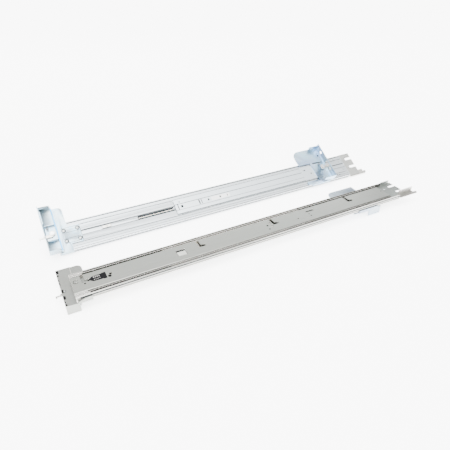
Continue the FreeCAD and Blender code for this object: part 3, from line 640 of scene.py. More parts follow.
class Shape:
    """A piece while it is made, in millimetres in the rail's frame."""

    def __init__(self) -> None:
        """Starts with nothing in it."""
        self.work = bmesh.new()

    def block(self, low: Point, high: Point, round_mm: float = 0.0, segments: int = 2) -> None:
        """Adds a block between two corners, its edges rounded.

        Args:
            low: its lowest corner.
            high: its highest corner.
            round_mm: how far its edges are rounded.
            segments: the steps of the rounding.
        """
        size = Vector(high) - Vector(low)
        middle = (Vector(high) + Vector(low)) / 2
        place = Matrix.Translation(middle) @ Matrix.Diagonal((*size, 1.0))
        made = bmesh.ops.create_cube(self.work, size=1.0, matrix=place)
        edges = {edge for vert in made["verts"] for edge in vert.link_edges}
        round_edges(self.work, edges, round_mm, segments)

    def plate(self, outline: Sequence[Spot], low_z: float, high_z: float, corner: float,
              corner_steps: int = 4) -> None:
        """Adds a flat plate from a few corner points, its corners rounded.

        Args:
            outline: the corners in the rail's x and y.
            low_z: where its lower face lies.
            high_z: where its upper face lies.
            corner: the radius of its corners.
            corner_steps: the steps of each corner.
        """
        verts = [self.work.verts.new((x, y, low_z)) for x, y in outline]
        made = bmesh.ops.extrude_face_region(self.work, geom=[self.work.faces.new(verts)])
        moved = [item for item in made["geom"] if isinstance(item, BMVert)]
        bmesh.ops.translate(self.work, vec=(0.0, 0.0, high_z - low_z), verts=moved)
        upright = [edge for vert in moved for edge in vert.link_edges
                   if abs(edge.verts[0].co.z - edge.verts[1].co.z) > 0.5 * (high_z - low_z)]
        round_edges(self.work, upright, corner, corner_steps)

    def turned(self, profile: Sequence[Spot], centre: Point, steps: int = 24) -> None:
        """Adds a turned shape about an axis along z.

        Args:
            profile: radius and height of each point, from one end of the axis to the other.
            centre: the foot of the axis.
            steps: how many sides it has.
        """
        foot = Vector(centre)
        verts = [self.work.verts.new(foot + Vector((radius, 0.0, height))) for radius, height in profile]
        edges = [self.work.edges.new(pair) for pair in zip(verts, verts[1:])]
        bmesh.ops.spin(self.work, geom=verts + edges, cent=foot, axis=(0.0, 0.0, 1.0),
                       dvec=(0.0, 0.0, 0.0), angle=2.0 * math.pi, steps=steps, use_merge=True,
                       use_duplicate=False)
        bmesh.ops.remove_doubles(self.work, verts=self.work.verts, dist=SEAM_WELD)

    def disc(self, place: Spot, radius: float, start_z: float, end_z: float, steps: int = 20) -> None:
        """Adds a flat round disc.

        Args:
            place: its middle in the rail's x and y.
            radius: its radius.
            start_z: where one of its faces lies.
            end_z: where the other face lies.
            steps: how many sides it has.
        """
        profile = ((0.0, start_z), (radius, start_z), (radius, end_z), (0.0, end_z))
        self.turned(profile, (*place, 0.0), steps)

    def ring(self, place: Spot, radii: Spot, face: float) -> None:
        """Adds a flat ring over a surface that lies square to z.

        Args:
            place: its middle in the rail's x and y.
            radii: its inner and outer radius.
            face: where the surface lies.
        """
        inner, outer = radii
        rise = 2.0 * FILM
        profile = ((inner, 0.0), (outer, 0.0), (outer, rise), (inner, rise), (inner, 0.0))
        self.turned(profile, (*place, face - FILM))

    def film(self, low: Spot, high: Spot, face: float, rise: float = FILM) -> None:
        """Adds a thin flat film over a surface that lies square to z.

        Args:
            low: its lowest corner in the rail's x and y.
            high: its highest corner.
            face: where the surface lies.
            rise: how far it reaches to either side of the surface.
        """
        self.block((*low, face - rise), (*high, face + rise))

    def line(self, span: Spot, height: float, width: float, face: float, rise: float = FILM) -> None:
        """Adds a thin flat line along the rail.

        Args:
            span: where it starts and ends along the rail.
            height: its middle up the rail.
            width: how wide it is.
            face: where the surface lies that it is on.
            rise: how far it reaches to either side of the surface.
        """
        start, end = span
        self.film((start, height - width / 2), (end, height + width / 2), face, rise)


class Workshop:
    """Makes pieces of one rail and sets them on their bodies."""

    def __init__(self, place: RailPlace) -> None:
        """Takes the rail that the pieces are for."""
        self.place = place

    def _object(self, mesh_name: str, work: BMesh, finish: Finish, body: Body,
                smooth: bool) -> bpy.types.Object:
        """Turns a bmesh in the row frame into a piece that rides on a body.

        Args:
            mesh_name: the piece's whole name.
            work: the mesh, in metres in the row frame. It is freed.
            finish: what it is finished with.
            body: the body it rides on.
            smooth: whether its faces are shaded smooth.

        Returns:
            The piece.
        """
        mesh = bpy.data.meshes.new(mesh_name)
        for face in work.faces:
            face.smooth = smooth
        work.to_mesh(mesh)
        work.free()
        piece = put(mesh_name, mesh)
        mesh.materials.append(finish.build(self.place))
        if smooth:
            weighted = piece.modifiers.new("even_normals", "WEIGHTED_NORMAL")
            weighted.mode = "FACE_AREA"
            weighted.keep_sharp = True
        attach(piece, self.place.body(body))
        log.info("%s rides on %s", mesh_name, self.place.body(body))
        return piece

    def add(self, name: str, shape: Shape, finish: Finish, body: Body, stands_for: Sequence[str] = (),
            smooth: bool = True) -> None:
        """Places a piece that was made in the rail's own frame.

        Args:
            name: the piece's name, without its side.
            shape: the piece.
            finish: what it is finished with.
            body: the body it rides on.
            stands_for: CAD nodes it is shown in place of.
            smooth: whether its faces are shaded smooth.
        """
        work = shape.work
        bmesh.ops.transform(work, matrix=self.place.matrix(), verts=work.verts)
        bmesh.ops.remove_doubles(work, verts=work.verts, dist=FINE_WELD)
        bmesh.ops.recalc_face_normals(work, faces=work.faces)
        piece = self._object(self.place.node(name), work, finish, body, smooth)
        if stands_for:
            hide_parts(*[self.place.node(node) for node in stands_for])

    def refine(self, node: str, finish: Finish, body: Body, form: EdgeForm) -> None:
        """Shows a stamped CAD node as a copy with folded and sheared edges rounded.

        Args:
            node: the node's name, without its side.
            finish: what it is finished with.
            body: the body it rides on.
            form: how its edges are rounded.
        """
        work = bmesh.new()
        work.from_mesh(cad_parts[self.place.node(node)].data)
        bmesh.ops.remove_doubles(work, verts=work.verts, dist=WELD)
        bmesh.ops.dissolve_limit(work, angle_limit=FLAT_ENOUGH, use_dissolve_boundaries=False,
                                 verts=work.verts, edges=work.edges, delimit=set())
        bmesh.ops.transform(work, matrix=Matrix.Scale(1.0 / MM, 4), verts=work.verts)
        fold_steps, inside_steps, sheared_steps = form.steps
        fresh = round_edges(work, self._folds(work, form, True), form.folded, fold_steps)
        round_edges(work, self._folds(work, form, False), form.inside, inside_steps)
        fresh += round_edges(work, self._sheared(work), form.sheared, sheared_steps)
        # Rounded edges get wear that is partly painted highlight.
        self._mark(work, EDGE_WEAR_AND_HIGHLIGHT_LAYER, [face for face in fresh if face.is_valid])
        # Faces in the ball tracks get painted shade.
        if form.tracks:
            self._mark(work, TRACK_SHADE_LAYER, self._track_faces(work, form.tracks))
        bmesh.ops.transform(work, matrix=Matrix.Scale(MM, 4), verts=work.verts)
        piece = self._object(self.place.node(node) + "_dressed", work, finish, body, True)
        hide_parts(self.place.node(node))

    @staticmethod
    def _mark(work: BMesh, name: str, faces: Iterable[BMFace]) -> None:
        """Sets one of the mesh's attributes to 1 on some faces and to 0 on the rest.

        Args:
            work: the mesh.
            name: the attribute.
            faces: the faces that get 1.
        """
        layer = work.loops.layers.float_color.new(name)
        marked = set(faces)
        for face in work.faces:
            share = 1.0 if face in marked else 0.0
            for loop in face.loops:
                loop[layer] = (share, share, share, 1.0)

    def _track_faces(self, work: BMesh, tracks: TrackFaces) -> list[BMFace]:
        """Finds the faces of a member that lie in its ball tracks.

        Args:
            work: the mesh, in millimetres in the row frame.
            tracks: where the tracks lie.

        Returns:
            The faces.
        """
        back = self.place.matrix().inverted()
        turn = back.to_3x3() * MM
        found = []
        for face in work.faces:
            centre = back @ (face.calc_center_median() * MM)
            if tracks.has(centre, (turn @ face.normal).normalized()):
                found.append(face)
        return found

    @staticmethod
    def _width(face: BMFace, edge: BMEdge) -> float:
        """How wide a face is across one of its edges."""
        return face.calc_area() / max(edge.calc_length(), LEAST_LENGTH)

    def _folds(self, work: BMesh, form: EdgeForm, outside: bool) -> list[BMEdge]:
        """The edges where sheet was bent: long, square, and between two wide faces.

        Args:
            work: the mesh, in millimetres.
            form: what counts as wide and long.
            outside: True for the outer side of the bends, False for the inner side.

        Returns:
            The edges.
        """
        found = []
        for edge in work.edges:
            if len(edge.link_faces) != 2 or edge.calc_length() < form.fold_length:
                continue
            angle = edge.calc_face_angle_signed(0.0)
            if (angle > 0.0) is not outside or abs(angle) < LEAST_FOLD:
                continue
            if all(self._width(face, edge) > form.fold_width for face in edge.link_faces):
                found.append(edge)
        return found

    @staticmethod
    def _sheared(work: BMesh) -> list[BMEdge]:
        """The edges left by the press tool."""
        return [edge for edge in work.edges
                if len(edge.link_faces) == 2 and edge.calc_face_angle_signed(0.0) > LEAST_SHEAR]


@dataclass(frozen=True)
class Spring:
    """A coil spring that stands along the rail's height, in millimetres."""

    foot: Point
    radius: float
    wire: float
    turns: int
    pitch: float

    def build(self) -> Shape:
        """Builds the spring first along z, then sets it upright.

        Returns:
            The spring.
        """
        shape = Shape()
        work = shape.work
        upright = Matrix.Translation((self.radius, 0.0, 0.0)) @ Matrix.Rotation(math.pi / 2, 4, "X")
        made = bmesh.ops.create_circle(work, cap_ends=False, segments=WIRE_SIDES, radius=self.wire,
                                       matrix=upright)
        loop = list({edge for vert in made["verts"] for edge in vert.link_edges})
        bmesh.ops.spin(work, geom=made["verts"] + loop, cent=(0.0, 0.0, 0.0), axis=(0.0, 0.0, 1.0),
                       dvec=(0.0, 0.0, self.pitch / STEPS_A_TURN), angle=2.0 * math.pi * self.turns,
                       steps=STEPS_A_TURN * self.turns, use_merge=False, use_duplicate=False)
        bmesh.ops.holes_fill(work, edges=[edge for edge in work.edges if edge.is_boundary], sides=0)
        place = Matrix.Translation(self.foot) @ Matrix.Rotation(-math.pi / 2, 4, "X")
        bmesh.ops.transform(work, matrix=place, verts=work.verts)
        return shape


@dataclass
class MemberSet:
    """The three telescopic members, their ball cages and their end stops."""

    shop: Workshop
    body_front: float = 15.5
    outer_end: float = 643.5
    bead_heights: Spot = (12.3, 45.7)
    bead_rise: float = 0.3
    bead_width: float = 0.9
    bead_round: float = 0.27
    bead_front: float = 58.5
    bead_trim: float = 2.0
    web_shade_lines: tuple[Point, ...] = ((39.0, 1.6, 1.0), (39.0, 6.2, 0.6), (58.5, 11.4, 1.0),
                                    (58.5, 23.6, 0.7), (58.5, 32.4, 1.1), (58.5, 44.2, 1.0),
                                    (39.0, 51.4, 1.8))
    shade_line_trim: float = 3.0
    web_dots: tuple[Spot, ...] = ((621.0, 46.0), (610.0, 8.6))
    dot_radius: float = 1.4
    dot_depth: float = 0.3
    groove_shade_lines: Spot = (25.9, 30.4)
    groove_shade_width: float = 2.3
    lip_shade_lines: tuple[Spot, ...] = ((6.9, 2.3), (3.3, 1.1))
    lip_front_trim: float = 6.0
    lip_end_trim: float = 1.0
    slot: Spot = (158.0, 228.0)
    rise: float = 0.04
    lug_start: float = 93.0
    lug_length: float = 16.0
    lug_width: float = 5.4
    lug_back: float = 0.2
    lug_sink: float = 0.3
    lug_round: float = 0.9
    lug_steps: int = 4
    lug_dome: tuple[Spot, ...] = ((0.0, -0.75), (0.9, -0.7), (1.6, -0.45), (1.8, -0.1), (1.8, 0.4),
                                  (0.0, 0.4))
    dome_steps: int = 20
    groove_floor: float = 1.5
    groove_height: float = 28.0

    @property
    def sheet(self) -> SheetFinish:
        """The outer member's finish: warmer on the left rail, bluer on the right. Both are one finish,
        darker on the left as painted shade and paler and bluer on the right as painted light and
        reflection.
        """
        return WARM_ZINC if self.shop.place.side is Side.LEFT else OUTER_ZINC

    def build(self) -> None:
        """Builds every piece of the members."""
        shop = self.shop
        shop.refine("outer_member", self.sheet, Body.RACKED, OUTER_FORM)
        shop.refine("middle_member", LIP_STEEL, Body.MIDDLE, NESTED_FORM)
        shop.refine("inner_member", SATIN_STEEL, Body.INNER, INNER_FORM)
        shop.refine("outer_cage", CAGE_STRIP, Body.OUTER_RACE, THIN_STRIP)
        shop.refine("inner_cage", CAGE_STRIP, Body.INNER_RACE, THIN_STRIP)
        shop.refine("front_stops", BRIGHT_ZINC, Body.RACKED, FLAT_STAMPING)
        shop.refine("middle_stops", BRIGHT_ZINC, Body.MIDDLE, FLAT_STAMPING)
        self._balls("outer_balls", Body.OUTER_RACE)
        self._balls("inner_balls", Body.INNER_RACE)
        self._beads()
        self._shade_lines()
        self._lug()

    def _shade_lines(self) -> None:
        """Narrow lines of painted shade along the web, in its groove and along the lower lip, and dark
        discs of painted shade for two press marks on the web.
        """
        shape = Shape()
        for start, height, width in self.web_shade_lines:
            shape.line((start, self.outer_end - self.shade_line_trim), height, width, 0.0, self.rise)
        for height in self.groove_shade_lines:
            shape.line(self.slot, height, self.groove_shade_width, self.groove_floor, self.rise)
        for depth, width in self.lip_shade_lines:
            shape.block((self.body_front + self.lip_front_trim, -self.rise, depth - width / 2),
                        (self.outer_end - self.lip_end_trim, self.rise, depth + width / 2))
        self.shop.add("web_shade_lines", shape, SHADE_LINE_DARK, Body.RACKED, smooth=False)
        shape = Shape()
        for place in self.web_dots:
            shape.disc(place, self.dot_radius, -self.rise, self.dot_depth)
        self.shop.add("web_dots", shape, SHADOW_HOLE, Body.RACKED)

    def _balls(self, node: str, body: Body) -> None:
        """Shows the balls with smooth faces and their own steel.

        Args:
            node: the balls' CAD node, without its side.
            body: the race they run in.
        """
        shape = Shape()
        shape.work.from_mesh(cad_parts[self.shop.place.node(node)].data)
        bmesh.ops.remove_doubles(shape.work, verts=shape.work.verts, dist=WELD)
        back = self.shop.place.matrix().inverted()
        bmesh.ops.transform(shape.work, matrix=back, verts=shape.work.verts)
        self.shop.add(node + "_polished", shape, BALL_STEEL, body, (node,))

    def _beads(self) -> None:
        """Two stiffening beads rolled along the outer member's web."""
        shape = Shape()
        for height in self.bead_heights:
            shape.block((self.bead_front, height - self.bead_width / 2, -self.bead_rise),
                        (self.outer_end - self.bead_trim, height + self.bead_width / 2, self.bead_rise),
                        self.bead_round, BEAD_STEPS)
        self.shop.add("web_beads", shape, self.sheet, Body.RACKED)

    def _lug(self) -> None:
        """The pressed boss in the groove that limits the rear extension's travel."""
        shape = Shape()
        middle = self.groove_height
        shape.block((self.lug_start, middle - self.lug_width / 2, -self.lug_back),
                    (self.lug_start + self.lug_length, middle + self.lug_width / 2,
                     self.groove_floor + self.lug_sink), self.lug_round, self.lug_steps)
        shape.turned(self.lug_dome, (self.lug_start + self.lug_length / 2, middle, 0.0), self.dome_steps)
        self.shop.add("groove_lug", shape, BRIGHT_ZINC, Body.RACKED)


@dataclass
class FrontBracket:
    """The front flange with its box, hook, housing, rivets and spring."""

    shop: Workshop
    tongue_face: float = -1.5
    box_face: float = -1.4
    wall_edge: float = -6.9
    rivet_places: tuple[Spot, ...] = ((31.0, 18.2), (31.0, 38.4), (53.5, 18.2), (53.5, 38.4))
    rivet_profile: tuple[Spot, ...] = ((0.0, -2.5), (1.3, -2.44), (2.3, -2.16), (2.9, -1.72), (3.0, -1.5),
                                       (1.9, -1.5), (1.9, 1.2), (2.6, 1.2), (2.7, 1.5), (2.3, 2.0),
                                       (1.1, 2.2), (0.7, 1.9), (0.0, 1.85))
    rivet_ring: Spot = (2.9, 3.7)
    upset_place: Spot = (4.5, 33.5)
    upset_profile: tuple[Spot, ...] = ((0.0, -1.6), (1.6, -1.6), (1.6, -1.1), (1.3, -0.85), (0.7, -0.85),
                                       (0.5, -1.05), (0.0, -1.05))
    upset_ring: Spot = (1.6, 2.3)
    spring: Spring = Spring((7.2, 44.2, -5.3), 1.5, 0.26, 7, 0.95)
    shade_mark_start: float = 0.25
    shade_mark_depth: float = 0.3
    fold_shade_marks: tuple[Point, ...] = ((77.5, 84.5, 3.9), (71.0, 74.5, 2.8), (58.0, 63.0, 1.5),
                                       (49.0, 55.0, 1.5), (31.0, 38.5, 3.3), (16.0, 23.5, 3.5),
                                       (8.0, 12.0, 1.6), (1.5, 6.0, 2.6))
    shade_line_heights: tuple[float, ...] = (14.2, 22.8, 33.6, 42.8)
    shade_line_span: Spot = (27.0, 56.5)
    shade_line_width: float = 0.6
    tongue_end: tuple[Spot, Spot] = ((57.05, 12.0), (57.9, 45.0))
    inboard_fold_highlight: tuple[Point, Point] = ((20.1, 54.5, -1.45), (21.5, 83.0, 0.04))
    outboard_fold_highlight: tuple[Spot, Spot] = ((19.7, 1.0), (21.6, 83.0))
    end_rise: float = 0.04
    bead_low: Spot = (24.0, 58.0)
    bead_high: Spot = (26.2, 79.0)
    bead_faces: tuple[Spot, ...] = ((-0.15, 0.35), (-1.85, -1.35))
    bead_round: float = 0.24
    flange_lip: tuple[Point, Point] = ((0.75, 52.0, -16.6), (3.35, 76.0, -15.8))

    @property
    def sheet(self) -> Finish:
        """The bracket's finish: grey on the left rail, paler and bluer on the right. Both are one finish,
        darker on the left as painted shade and paler and bluer on the right as painted light and
        reflection.
        """
        return BRACKET_ZINC if self.shop.place.side is Side.LEFT else PALE_BRACKET_ZINC

    def build(self) -> None:
        """Builds every piece of the front bracket."""
        shop = self.shop
        shop.refine("front_bracket", self.sheet, Body.RACKED, FOLDED_BRACKET)
        shop.refine("latch_housing", self.sheet, Body.RACKED, EdgeForm(folded=0.8, inside=0.3))
        shop.refine("front_hook", BRIGHT_ZINC, Body.HOOK, FLAT_STAMPING)
        shop.refine("hook_pivot", BALL_STEEL, Body.RACKED, FLAT_STAMPING)
        self._rivets()
        shop.add("hook_spring", self.spring.build(), SPRING_STEEL, Body.RACKED)
        self._upset()
        self._shade_marks()
        self._tongue_shade_lines()
        self._fold_highlights()
        self._beads()

    def _rivets(self) -> None:
        """Domed rivets through the tongue, with their upset ends inside the member."""
        shape = Shape()
        for place in self.rivet_places:
            shape.turned(self.rivet_profile, (*place, 0.0))
        self.shop.add("domed_rivets", shape, RIVET_STEEL, Body.RACKED, ("bracket_rivets",))

    def _upset(self) -> None:
        """The upset end of the hook's pivot on the bracket's inboard face."""
        shape = Shape()
        shape.turned(self.upset_profile, (*self.upset_place, 0.0))
        self.shop.add("pivot_upset", shape, RIVET_STEEL, Body.RACKED)

    def _shade_marks(self) -> None:
        """Dark blocks of painted shade along the front fold, and rings of painted shade round the rivets
        and the pivot's end.
        """
        shape = Shape()
        for low, high, reach in self.fold_shade_marks:
            shape.block((self.shade_mark_start, low, self.box_face - self.shade_mark_depth),
                        (self.shade_mark_start + reach, high, self.box_face + FILM))
        shape.ring(self.upset_place, self.upset_ring, self.box_face)
        for place in self.rivet_places:
            shape.ring(place, self.rivet_ring, self.tongue_face)
        self.shop.add("bracket_painted_shade", shape, SHADOW_HOLE, Body.RACKED, smooth=False)

    def _tongue_shade_lines(self) -> None:
        """Narrow lines of painted shade along the riveted tongue and across its end."""
        shape = Shape()
        for height in self.shade_line_heights:
            shape.line(self.shade_line_span, height, self.shade_line_width, self.tongue_face)
        shape.film(*self.tongue_end, 0.0, self.end_rise)
        self.shop.add("tongue_shade_lines", shape, SHADE_LINE_DARK, Body.RACKED, smooth=False)

    def _fold_highlights(self) -> None:
        """Painted highlights along the box's rear fold: a bright strip on the inboard side and a blue one
        on the outboard edge.
        """
        shape = Shape()
        shape.block(*self.inboard_fold_highlight)
        self.shop.add("inboard_fold_highlight", shape, BRIGHT_ZINC, Body.RACKED, smooth=False)
        shape = Shape()
        shape.film(*self.outboard_fold_highlight, self.wall_edge)
        self.shop.add("outboard_fold_highlight", shape, FOLD_HIGHLIGHT_BLUE, Body.RACKED, smooth=False)

    def _beads(self) -> None:
        """A bead pressed along the tab and a lip turned in along the flange's edge."""
        shape = Shape()
        for low, high in self.bead_faces:
            shape.block((*self.bead_low, low), (*self.bead_high, high), self.bead_round, BEAD_STEPS)
        self.shop.add("tab_bead", shape, self.sheet, Body.RACKED)
        shape = Shape()
        shape.block(*self.flange_lip)
        self.shop.add("flange_lip", shape, self.sheet, Body.RACKED)


@dataclass
class RearBracket:
    """The rear extension with its bracket, latch, pivot, spring and bare label."""

    shop: Workshop
    plate_face: float = -1.6
    bracket_face: float = -3.1
    label_low: Spot = (306.0, 23.6)
    label_high: Spot = (346.0, 31.6)
    label_rise: float = 0.08
    label_sink: float = 0.02
    label_corner: float = 0.8
    tick_places: tuple[Point, ...] = ((236.0, 1.6, 13.0), (242.0, 4.4, 5.0), (279.0, 2.4, 9.6),
                                      (284.4, 1.4, 9.6), (298.0, 3.2, 4.0), (323.4, 3.2, 4.0),
                                      (340.0, 1.6, 4.6))
    tick_sink: float = 0.01
    plate_shade_lines: tuple[Spot, ...] = ((13.5, 0.9), (21.2, 0.7), (33.6, 1.1), (44.4, 0.8))
    plate_span: Spot = (230.0, 526.0)
    plate_front: tuple[Spot, Spot] = ((230.3, 13.0), (231.0, 45.0))
    shade_line_rise: float = 0.04
    hole_depth: float = 0.2
    plate_holes: tuple[Spot, ...] = ((548.0, 27.1), (536.5, 37.4))
    plate_hole_radius: float = 1.5
    tab_hole: Spot = (586.5, 64.0)
    tab_hole_radius: float = 1.9
    tab_hole_steps: int = 24
    slits: tuple[tuple[Spot, Spot], ...] = (((567.0, 46.4), (588.0, 48.6)), ((562.0, 2.4), (584.0, 4.4)))
    spring: Spring = Spring((576.5, 40.2, -5.2), 1.4, 0.25, 6, 0.8)

    def build(self) -> None:
        """Builds every piece of the rear bracket."""
        shop = self.shop
        shop.refine("rear_extension", EXTENSION_ZINC, Body.REAR, SHEARED_PLATE)
        # The left rail's copy is greyer and darker as painted shade, the right rail's bluer and paler as
        # painted light and reflection.
        finish = GREY_BLUE_ZINC if shop.place.side is Side.LEFT else BLUE_ZINC
        shop.refine("rear_bracket", finish, Body.REAR, FOLDED_BRACKET)
        shop.refine("rear_latch", BRIGHT_ZINC, Body.LATCH, FLAT_STAMPING)
        shop.refine("latch_pivot", BALL_STEEL, Body.REAR, FLAT_STAMPING)
        self._label()
        self._shade_lines()
        self._holes()
        shop.add("latch_spring", self.spring.build(), SPRING_STEEL, Body.REAR)

    def _label(self) -> None:
        """A bare label strip with a few plain tick marks and no wording."""
        front, low = self.label_low
        rear, high = self.label_high
        face = self.plate_face - self.label_rise
        shape = Shape()
        corners = ((front, low), (rear, low), (rear, high), (front, high))
        shape.plate(corners, face, self.plate_face + self.label_sink, self.label_corner)
        self.shop.add("label_strip", shape, LABEL_STOCK, Body.REAR, smooth=False)
        shape = Shape()
        middle = (low + high) / 2
        for x, width, tall in self.tick_places:
            shape.block((x, middle - tall / 2, face - FILM),
                        (x + width, middle + tall / 2, self.plate_face + self.tick_sink))
        self.shop.add("label_ticks", shape, PRINT_BLACK, Body.REAR, smooth=False)

    def _shade_lines(self) -> None:
        """Narrow lines of painted shade along the extension and across its front end."""
        shape = Shape()
        for height, width in self.plate_shade_lines:
            shape.line(self.plate_span, height, width, self.plate_face, self.shade_line_rise)
        shape.film(*self.plate_front, self.plate_face, self.shade_line_rise)
        self.shop.add("extension_shade_lines", shape, SHADE_LINE_DARK, Body.REAR, smooth=False)

    def _holes(self) -> None:
        """Dark films of painted shade for the small pressed holes and slits of the extension and the
        bracket.
        """
        shape = Shape()
        face = self.plate_face
        for place in self.plate_holes:
            shape.disc(place, self.plate_hole_radius, face - FILM, face + self.hole_depth)
        face = self.bracket_face
        shape.disc(self.tab_hole, self.tab_hole_radius, face - FILM, face + self.hole_depth,
                   self.tab_hole_steps)
        self.shop.add("rear_pin_holes", shape, SHADOW_HOLE, Body.REAR)
        shape = Shape()
        for low, high in self.slits:
            shape.block((*low, face - FILM), (*high, face + self.hole_depth))
        self.shop.add("bracket_slits", shape, SHADE_LINE_DARK, Body.REAR, smooth=False)


@dataclass
class CableEnd:
    """The slotted bracket at the rear end, its lower arm and its rivets."""

    shop: Workshop
    rivet_places: tuple[Spot, ...] = ((632.0, 38.9), (641.0, 38.9), (632.0, 17.8))
    rivet_profile: tuple[Spot, ...] = ((0.0, 0.02), (1.7, 0.02), (1.9, 0.2), (1.9, 3.9), (3.0, 3.9),
                                       (2.9, 4.15), (2.2, 4.65), (1.2, 4.9), (0.0, 4.9))
    form: EdgeForm = EdgeForm(folded=0.7, inside=0.3)

    def build(self) -> None:
        """Builds every piece of the cable end."""
        shop = self.shop
        # The left rail's copy is darker as painted shade, the right rail's paler as painted light.
        finish = GREEN_CABLE_ZINC if shop.place.side is Side.LEFT else CABLE_ZINC
        shop.refine("cable_bracket", finish, Body.RACKED, self.form)
        shop.refine("cable_arm", BRIGHT_ZINC, Body.RACKED, self.form)
        self._rivets()

    def _rivets(self) -> None:
        """Domed rivets that hold the bracket, flush on the outboard side."""
        shape = Shape()
        for place in self.rivet_places:
            shape.turned(self.rivet_profile, (*place, 0.0))
        self.shop.add("cable_domes", shape, RIVET_STEEL, Body.RACKED, ("cable_rivets",))


@dataclass
class ServerFittings:
    """What the server meets on the inner member: lever, release tab, arrow and press marks."""

    shop: Workshop
    face: float = 9.8
    print_rise: float = 0.12
    print_sink: float = 0.02
    arrow_middle: float = 29.0
    arrow_half: tuple[Spot, ...] = ((46.0, 6.0), (60.0, 6.4), (60.6, 7.3), (65.8, 7.3))
    arrow_front: float = 39.2
    arrow_corner: float = 0.5
    bars: tuple[Spot, ...] = ((47.0, 1.3), (49.8, 0.9), (52.2, 1.3), (55.2, 1.0))
    bar_heights: tuple[Spot, ...] = ((-3.2, -2.1), (1.3, 4.2))
    marks: tuple[Point, ...] = ((411.4, 22.5, 1.4), (438.6, 26.2, 1.2), (439.0, 20.3, 1.5),
                                (69.8, 24.2, 2.7), (33.6, 23.7, 1.5), (620.0, 29.0, 1.4),
                                (349.2, 28.4, 1.9), (347.6, 18.2, 1.6))
    mark_depth: float = 0.1
    shade_low: Point = (177.4, 30.2, 8.2)
    shade_high: Point = (194.1, 34.6, 8.65)

    def build(self) -> None:
        """Builds every fitting."""
        shop = self.shop
        shop.refine("lock_lever", LEVER_GREY, Body.LEVER, FLAT_STAMPING)
        shop.refine("lever_pin", RIVET_STEEL, Body.INNER, FLAT_STAMPING)
        shop.refine("release_tab", TAB_GREY, Body.RELEASE, FLAT_STAMPING)
        self._arrow()
        self._marks()

    def _arrow(self) -> None:
        """The black arrow that points to the front, with plain bars in place of wording."""
        middle = self.arrow_middle
        lower = [(x, middle - half) for x, half in self.arrow_half]
        upper = [(x, middle + half) for x, half in reversed(self.arrow_half)]
        shape = Shape()
        shape.plate([(self.arrow_front, middle), *lower, *upper], self.face - self.print_sink,
                    self.face + self.print_rise, self.arrow_corner, BEAD_STEPS)
        self.shop.add("arrow_print", shape, PRINT_BLACK, Body.INNER, ("arrow_mark",), smooth=False)
        shape = Shape()
        for x, width in self.bars:
            for low, high in self.bar_heights:
                shape.film((x, middle + low), (x + width, middle + high), self.face + self.print_rise,
                           self.print_sink)
        self.shop.add("arrow_bars", shape, PRINT_WHITE, Body.INNER, smooth=False)

    def _marks(self) -> None:
        """Small dark discs of painted shade for marks left by the press, and a dark plate of painted
        shade behind the window's upper edge.
        """
        shape = Shape()
        for x, y, radius in self.marks:
            shape.disc((x, y), radius, self.face + FILM, self.face - self.mark_depth)
        self.shop.add("press_marks", shape, SHADOW_HOLE, Body.INNER)
        shape = Shape()
        shape.block(self.shade_low, self.shade_high)
        self.shop.add("window_shade", shape, SHADOW_HOLE, Body.INNER, smooth=False)


@dataclass(frozen=True)
class StripLight:
    """A narrow soft light that points at the middle of the part. Lengths are metres."""

    name: str
    place: Point
    size: Spot
    power: float

    def build(self) -> None:
        """Puts the light in the scene."""
        data = bpy.data.lights.new(self.name, "AREA")
        data.shape = "RECTANGLE"
        data.size, data.size_y = self.size
        data.energy = self.power
        lamp = put(self.name, data)
        lamp.location = self.place
        lamp.rotation_euler = (-Vector(self.place)).to_track_quat("-Z", "Y").to_euler()


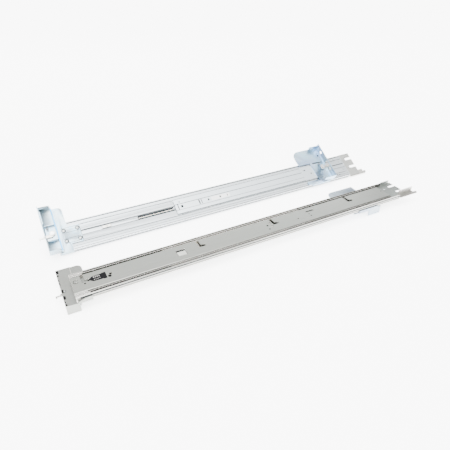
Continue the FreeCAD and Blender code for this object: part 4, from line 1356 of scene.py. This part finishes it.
@dataclass
class Studio:
    """The pale glowing floor, the soft light and the camera. Lengths are metres."""

    floor_half: float = 14.0
    floor_tone: Colour = (0.93, 0.93, 0.93)
    fibre: Noise = Noise(300.0, 2.0)
    fibre_light: float = 1.03
    floor_rough: float = 0.9
    floor_glow: float = 4.0
    world_stops: tuple[Spot, ...] = ((0.0, 0.5), (0.2, 0.32), (0.45, 0.36), (0.6, 0.45), (0.8, 0.85),
                                     (1.0, 1.3))
    world_blue: float = 1.01
    world_strength: float = 3.6
    ceiling_power: float = 10.0
    ceiling_spread: float = math.radians(70.0)
    ceiling_turn: Point = (math.radians(24.0), math.radians(-14.0), 0.0)
    strips: tuple[StripLight, ...] = (StripLight("strip_rear", (0.5, 1.5, 0.9), (2.4, 0.16), 9.0),
                                      StripLight("strip_front", (-1.4, -0.9, 1.1), (1.6, 0.3), 6.0))
    camera_place: Point = (-0.34629, -0.57147, 0.43463)
    camera_right: Point = (0.88190, -0.47131, 0.01060)
    camera_up: Point = (0.25573, 0.49716, 0.82911)
    lens: float = 33.322
    sensor: float = 36.0
    clip: Spot = (0.01, 60.0)

    def build(self) -> None:
        """Builds floor, world, lights and camera."""
        self._floor()
        self._world()
        self._ceiling()
        for strip in self.strips:
            strip.build()
        self._camera()

    def _floor(self) -> None:
        """A wide plain floor that glows as a light table does."""
        work = bmesh.new()
        bmesh.ops.create_grid(work, x_segments=1, y_segments=1, size=self.floor_half)
        mesh = bpy.data.meshes.new("studio_floor")
        work.to_mesh(mesh)
        work.free()
        graph = Graph("studio_paper")
        fibre = graph.noise(graph.mapped(EVEN), self.fibre)
        light = tuple(c * self.fibre_light for c in self.floor_tone)
        graph.set("Base Color", graph.mix(fibre, self.floor_tone, light))
        graph.set("Roughness", self.floor_rough)
        graph.set("Emission Color", EVEN)
        graph.set("Emission Strength", self.floor_glow)
        mesh.materials.append(graph.material)
        put("studio_floor", mesh)

    def _world(self) -> None:
        """Soft surroundings: bright overhead, greyer towards the horizon."""
        world = bpy.data.worlds.new("studio_surround")
        bpy.context.scene.world = world
        world.use_nodes = True
        tree = world.node_tree
        tree.nodes.clear()
        output = tree.nodes.new("ShaderNodeOutputWorld")
        background = tree.nodes.new("ShaderNodeBackground")
        coords = tree.nodes.new("ShaderNodeTexCoord")
        split = tree.nodes.new("ShaderNodeSeparateXYZ")
        ramp = tree.nodes.new("ShaderNodeValToRGB")
        elements = ramp.color_ramp.elements
        first, *middle, last = self.world_stops
        for element, (position, level) in zip((elements[0], elements[1]), (first, last)):
            element.position = position
            element.color = (level, level, level, 1.0)
        for position, level in middle:
            elements.new(position).color = (level, level, level * self.world_blue, 1.0)
        tree.links.new(coords.outputs["Generated"], split.inputs["Vector"])
        tree.links.new(split.outputs["Z"], ramp.inputs["Fac"])
        tree.links.new(ramp.outputs["Color"], background.inputs["Color"])
        background.inputs["Strength"].default_value = self.world_strength
        tree.links.new(background.outputs["Background"], output.inputs["Surface"])

    def _ceiling(self) -> None:
        """A broad soft light from above."""
        data = bpy.data.lights.new("ceiling_glow", "SUN")
        data.energy = self.ceiling_power
        data.angle = self.ceiling_spread
        put("ceiling_glow", data).rotation_euler = self.ceiling_turn

    def _camera(self) -> None:
        """The camera, set by its place and its own right and up."""
        data = bpy.data.cameras.new("view_camera")
        data.sensor_width = self.sensor
        data.lens = self.lens
        data.clip_start, data.clip_end = self.clip
        camera = put("view_camera", data)
        right = Vector(self.camera_right).normalized()
        back = right.cross(Vector(self.camera_up)).normalized()
        up = back.cross(right)
        turn = Matrix((right, up, back)).transposed()
        camera.matrix_world = Matrix.Translation(self.camera_place) @ turn.to_4x4()
        bpy.context.scene.camera = camera


def main() -> None:
    """Builds both rails and the studio."""
    logging.basicConfig(level=logging.INFO)
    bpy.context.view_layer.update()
    for side in Side:
        shop = Workshop(RailPlace(side))
        for assembly in (MemberSet(shop), FrontBracket(shop), RearBracket(shop), CableEnd(shop),
                         ServerFittings(shop)):
            assembly.build()
            log.info("%s %s is built", side.value, type(assembly).__name__)
    Studio().build()


if __name__ == "__main__":
    main()
